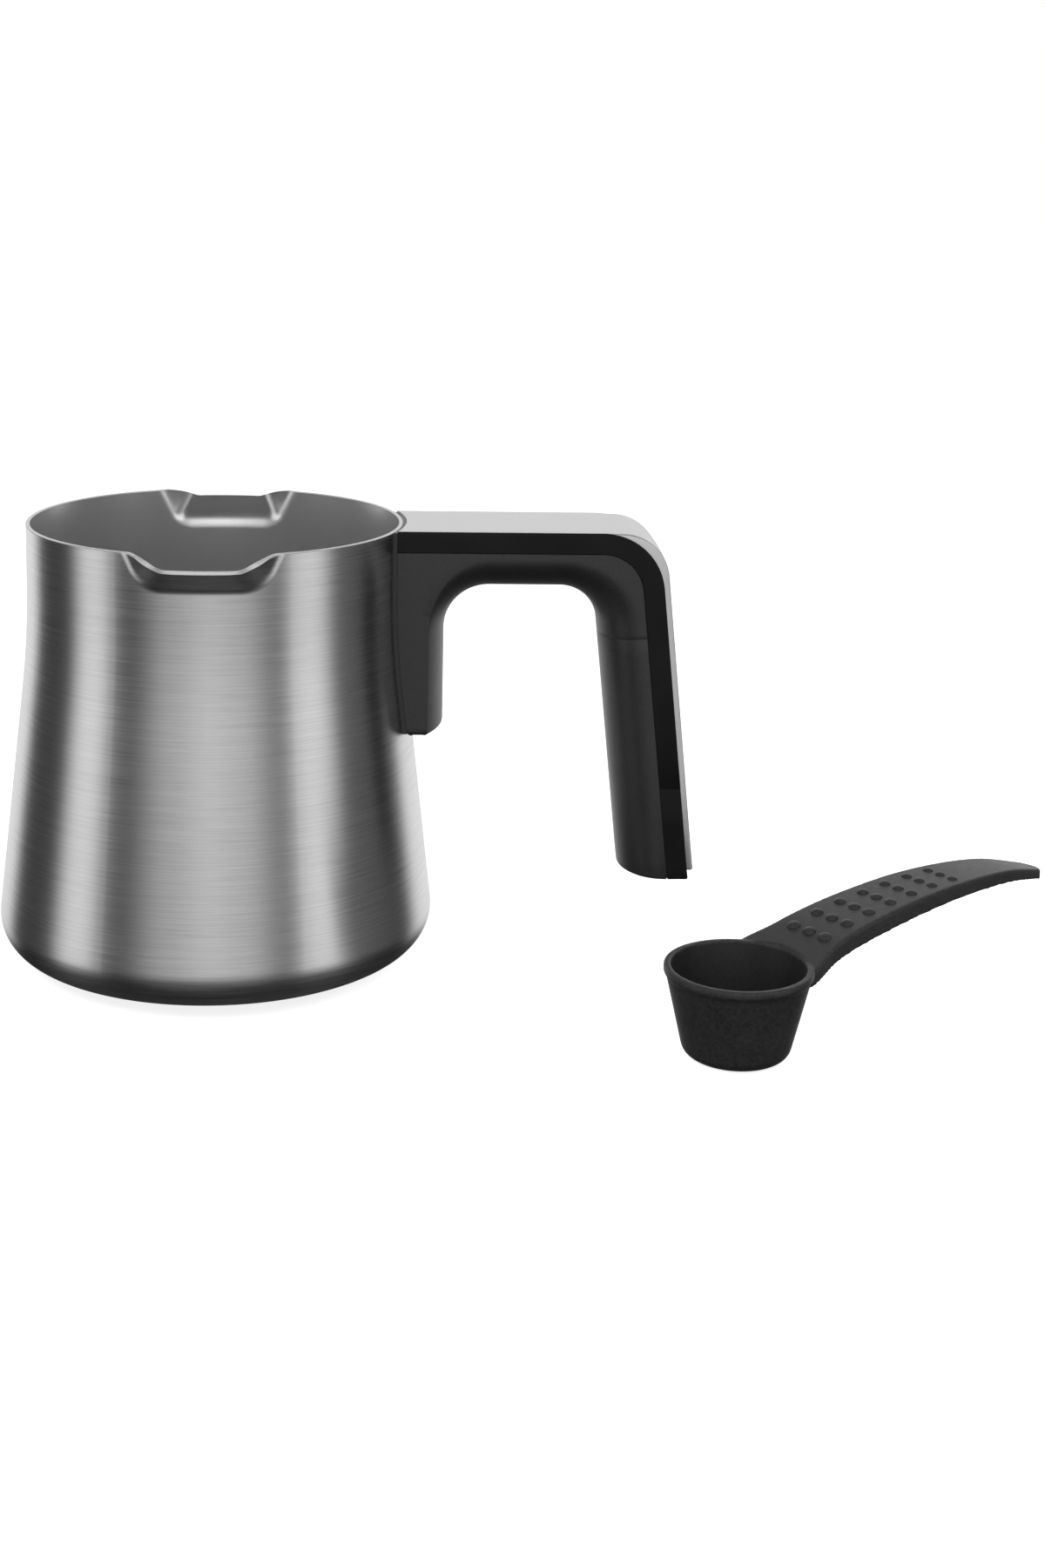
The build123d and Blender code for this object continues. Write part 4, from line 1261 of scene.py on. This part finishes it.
def camera():
    data = bpy.data.cameras.new("camera")
    data.sensor_width = SENSOR
    data.lens = FOCAL_PIXELS / FRAME_HEIGHT * SENSOR
    data.shift_x = (FRAME_WIDTH / 2 - PRINCIPAL[0]) / FRAME_HEIGHT
    data.shift_y = (PRINCIPAL[1] - FRAME_HEIGHT / 2) / FRAME_HEIGHT
    data.clip_start = NEAREST_SEEN
    data.clip_end = FURTHEST_SEEN
    eye = bpy.data.objects.new("camera", data)
    turn = Matrix.Rotation(-CAMERA_YAW, 4, "Z") @ Matrix.Rotation(pi / 2 - CAMERA_PITCH, 4, "X")
    turn = turn @ Matrix.Rotation(CAMERA_ROLL, 4, "Z")
    eye.matrix_world = Matrix.Translation(Vector(CAMERA_PLACE) * MM) @ turn
    bpy.context.scene.collection.objects.link(eye)
    bpy.context.scene.camera = eye


# ---- everything

steel = brushed_steel()
inside_steel = inner_steel()
edge_steel = rim_steel()
silver = satin_trim()
gloss = gloss_plastic()
matte = matte_plastic(
    "matte_plastic", tones=(0.022, 0.034), roughness=(0.34, 0.44), grain_size=2400.0, strength=0.12, sheen=0.5
)
scoop_plastic = matte_plastic(
    "scoop_plastic", tones=(0.020, 0.038), roughness=(0.40, 0.55), grain_size=1300.0, strength=0.4, sheen=0.2
)
# Darker copy of the scoop's plastic for the inside of its bowl: painted shade in the hollow, the same plastic
# as the rest
scoop_painted_shade = matte_plastic(
    "scoop_painted_shade", tones=(0.010, 0.018), roughness=(0.45, 0.60), grain_size=1300.0, strength=0.4, sheen=0.0
)
rubber = matte_plastic(
    "rubber", tones=(0.004, 0.007), roughness=(0.65, 0.8), grain_size=900.0, strength=0.2, sheen=0.0
)
plated = zinc()

points, faces, rim_start, rim_end = pot_mesh()
pot = new_mesh("pot_shell_visual", points, faces)
paint(pot, steel, inside_steel, edge_steel)
for polygon in pot.data.polygons:
    if min(polygon.vertices) >= rim_end:
        polygon.material_index = 1
    elif min(polygon.vertices) >= rim_start:
        polygon.material_index = 2
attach(pot, "pot")
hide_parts("pot_shell")

for node, made, slot, material in (
    ("handle_body", upper_body_mesh(), "matte_body", matte),
    ("grip_inner", lower_grip_mesh(), "matte_body", matte),
    ("handle_band", band_mesh(), "gloss_band", gloss),
    ("band_end_cap", end_cap_mesh(), "gloss_band", gloss),
    ("top_trim", trim_mesh(), "satin_trim", silver),
):
    piece = new_mesh(node + "_visual", *made)
    paint(piece, material)
    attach(piece, "pot")
    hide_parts(node)

for material, names in (
    (plated, ("base_core", "handle_bracket", "handle_core")),
    (plated, ("foot_screw", "foot_washer", "arch_screws", "grip_screw", "cap_screw")),
    (inside_steel, ("base_cap",)),
    (matte, ("handle_gasket", "foot_plug")),
    (rubber, ("trim_pad_top", "trim_pad_grip")),
):
    for node in names:
        paint(nodes[node], material)

scoop = scoop_piece()
paint(scoop, scoop_plastic, scoop_painted_shade)
# The inside of the bowl takes the darker copy, as painted shade
for polygon in scoop.data.polygons:
    if in_bowl_shade(polygon.center / MM):
        polygon.material_index = 1
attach(scoop, "scoop")
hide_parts("scoop")

floor()
studio_world()
for name, place, power in LAMPS:
    lamp(name, place, power)
camera()
bpy.context.scene.view_settings.view_transform = "Standard"
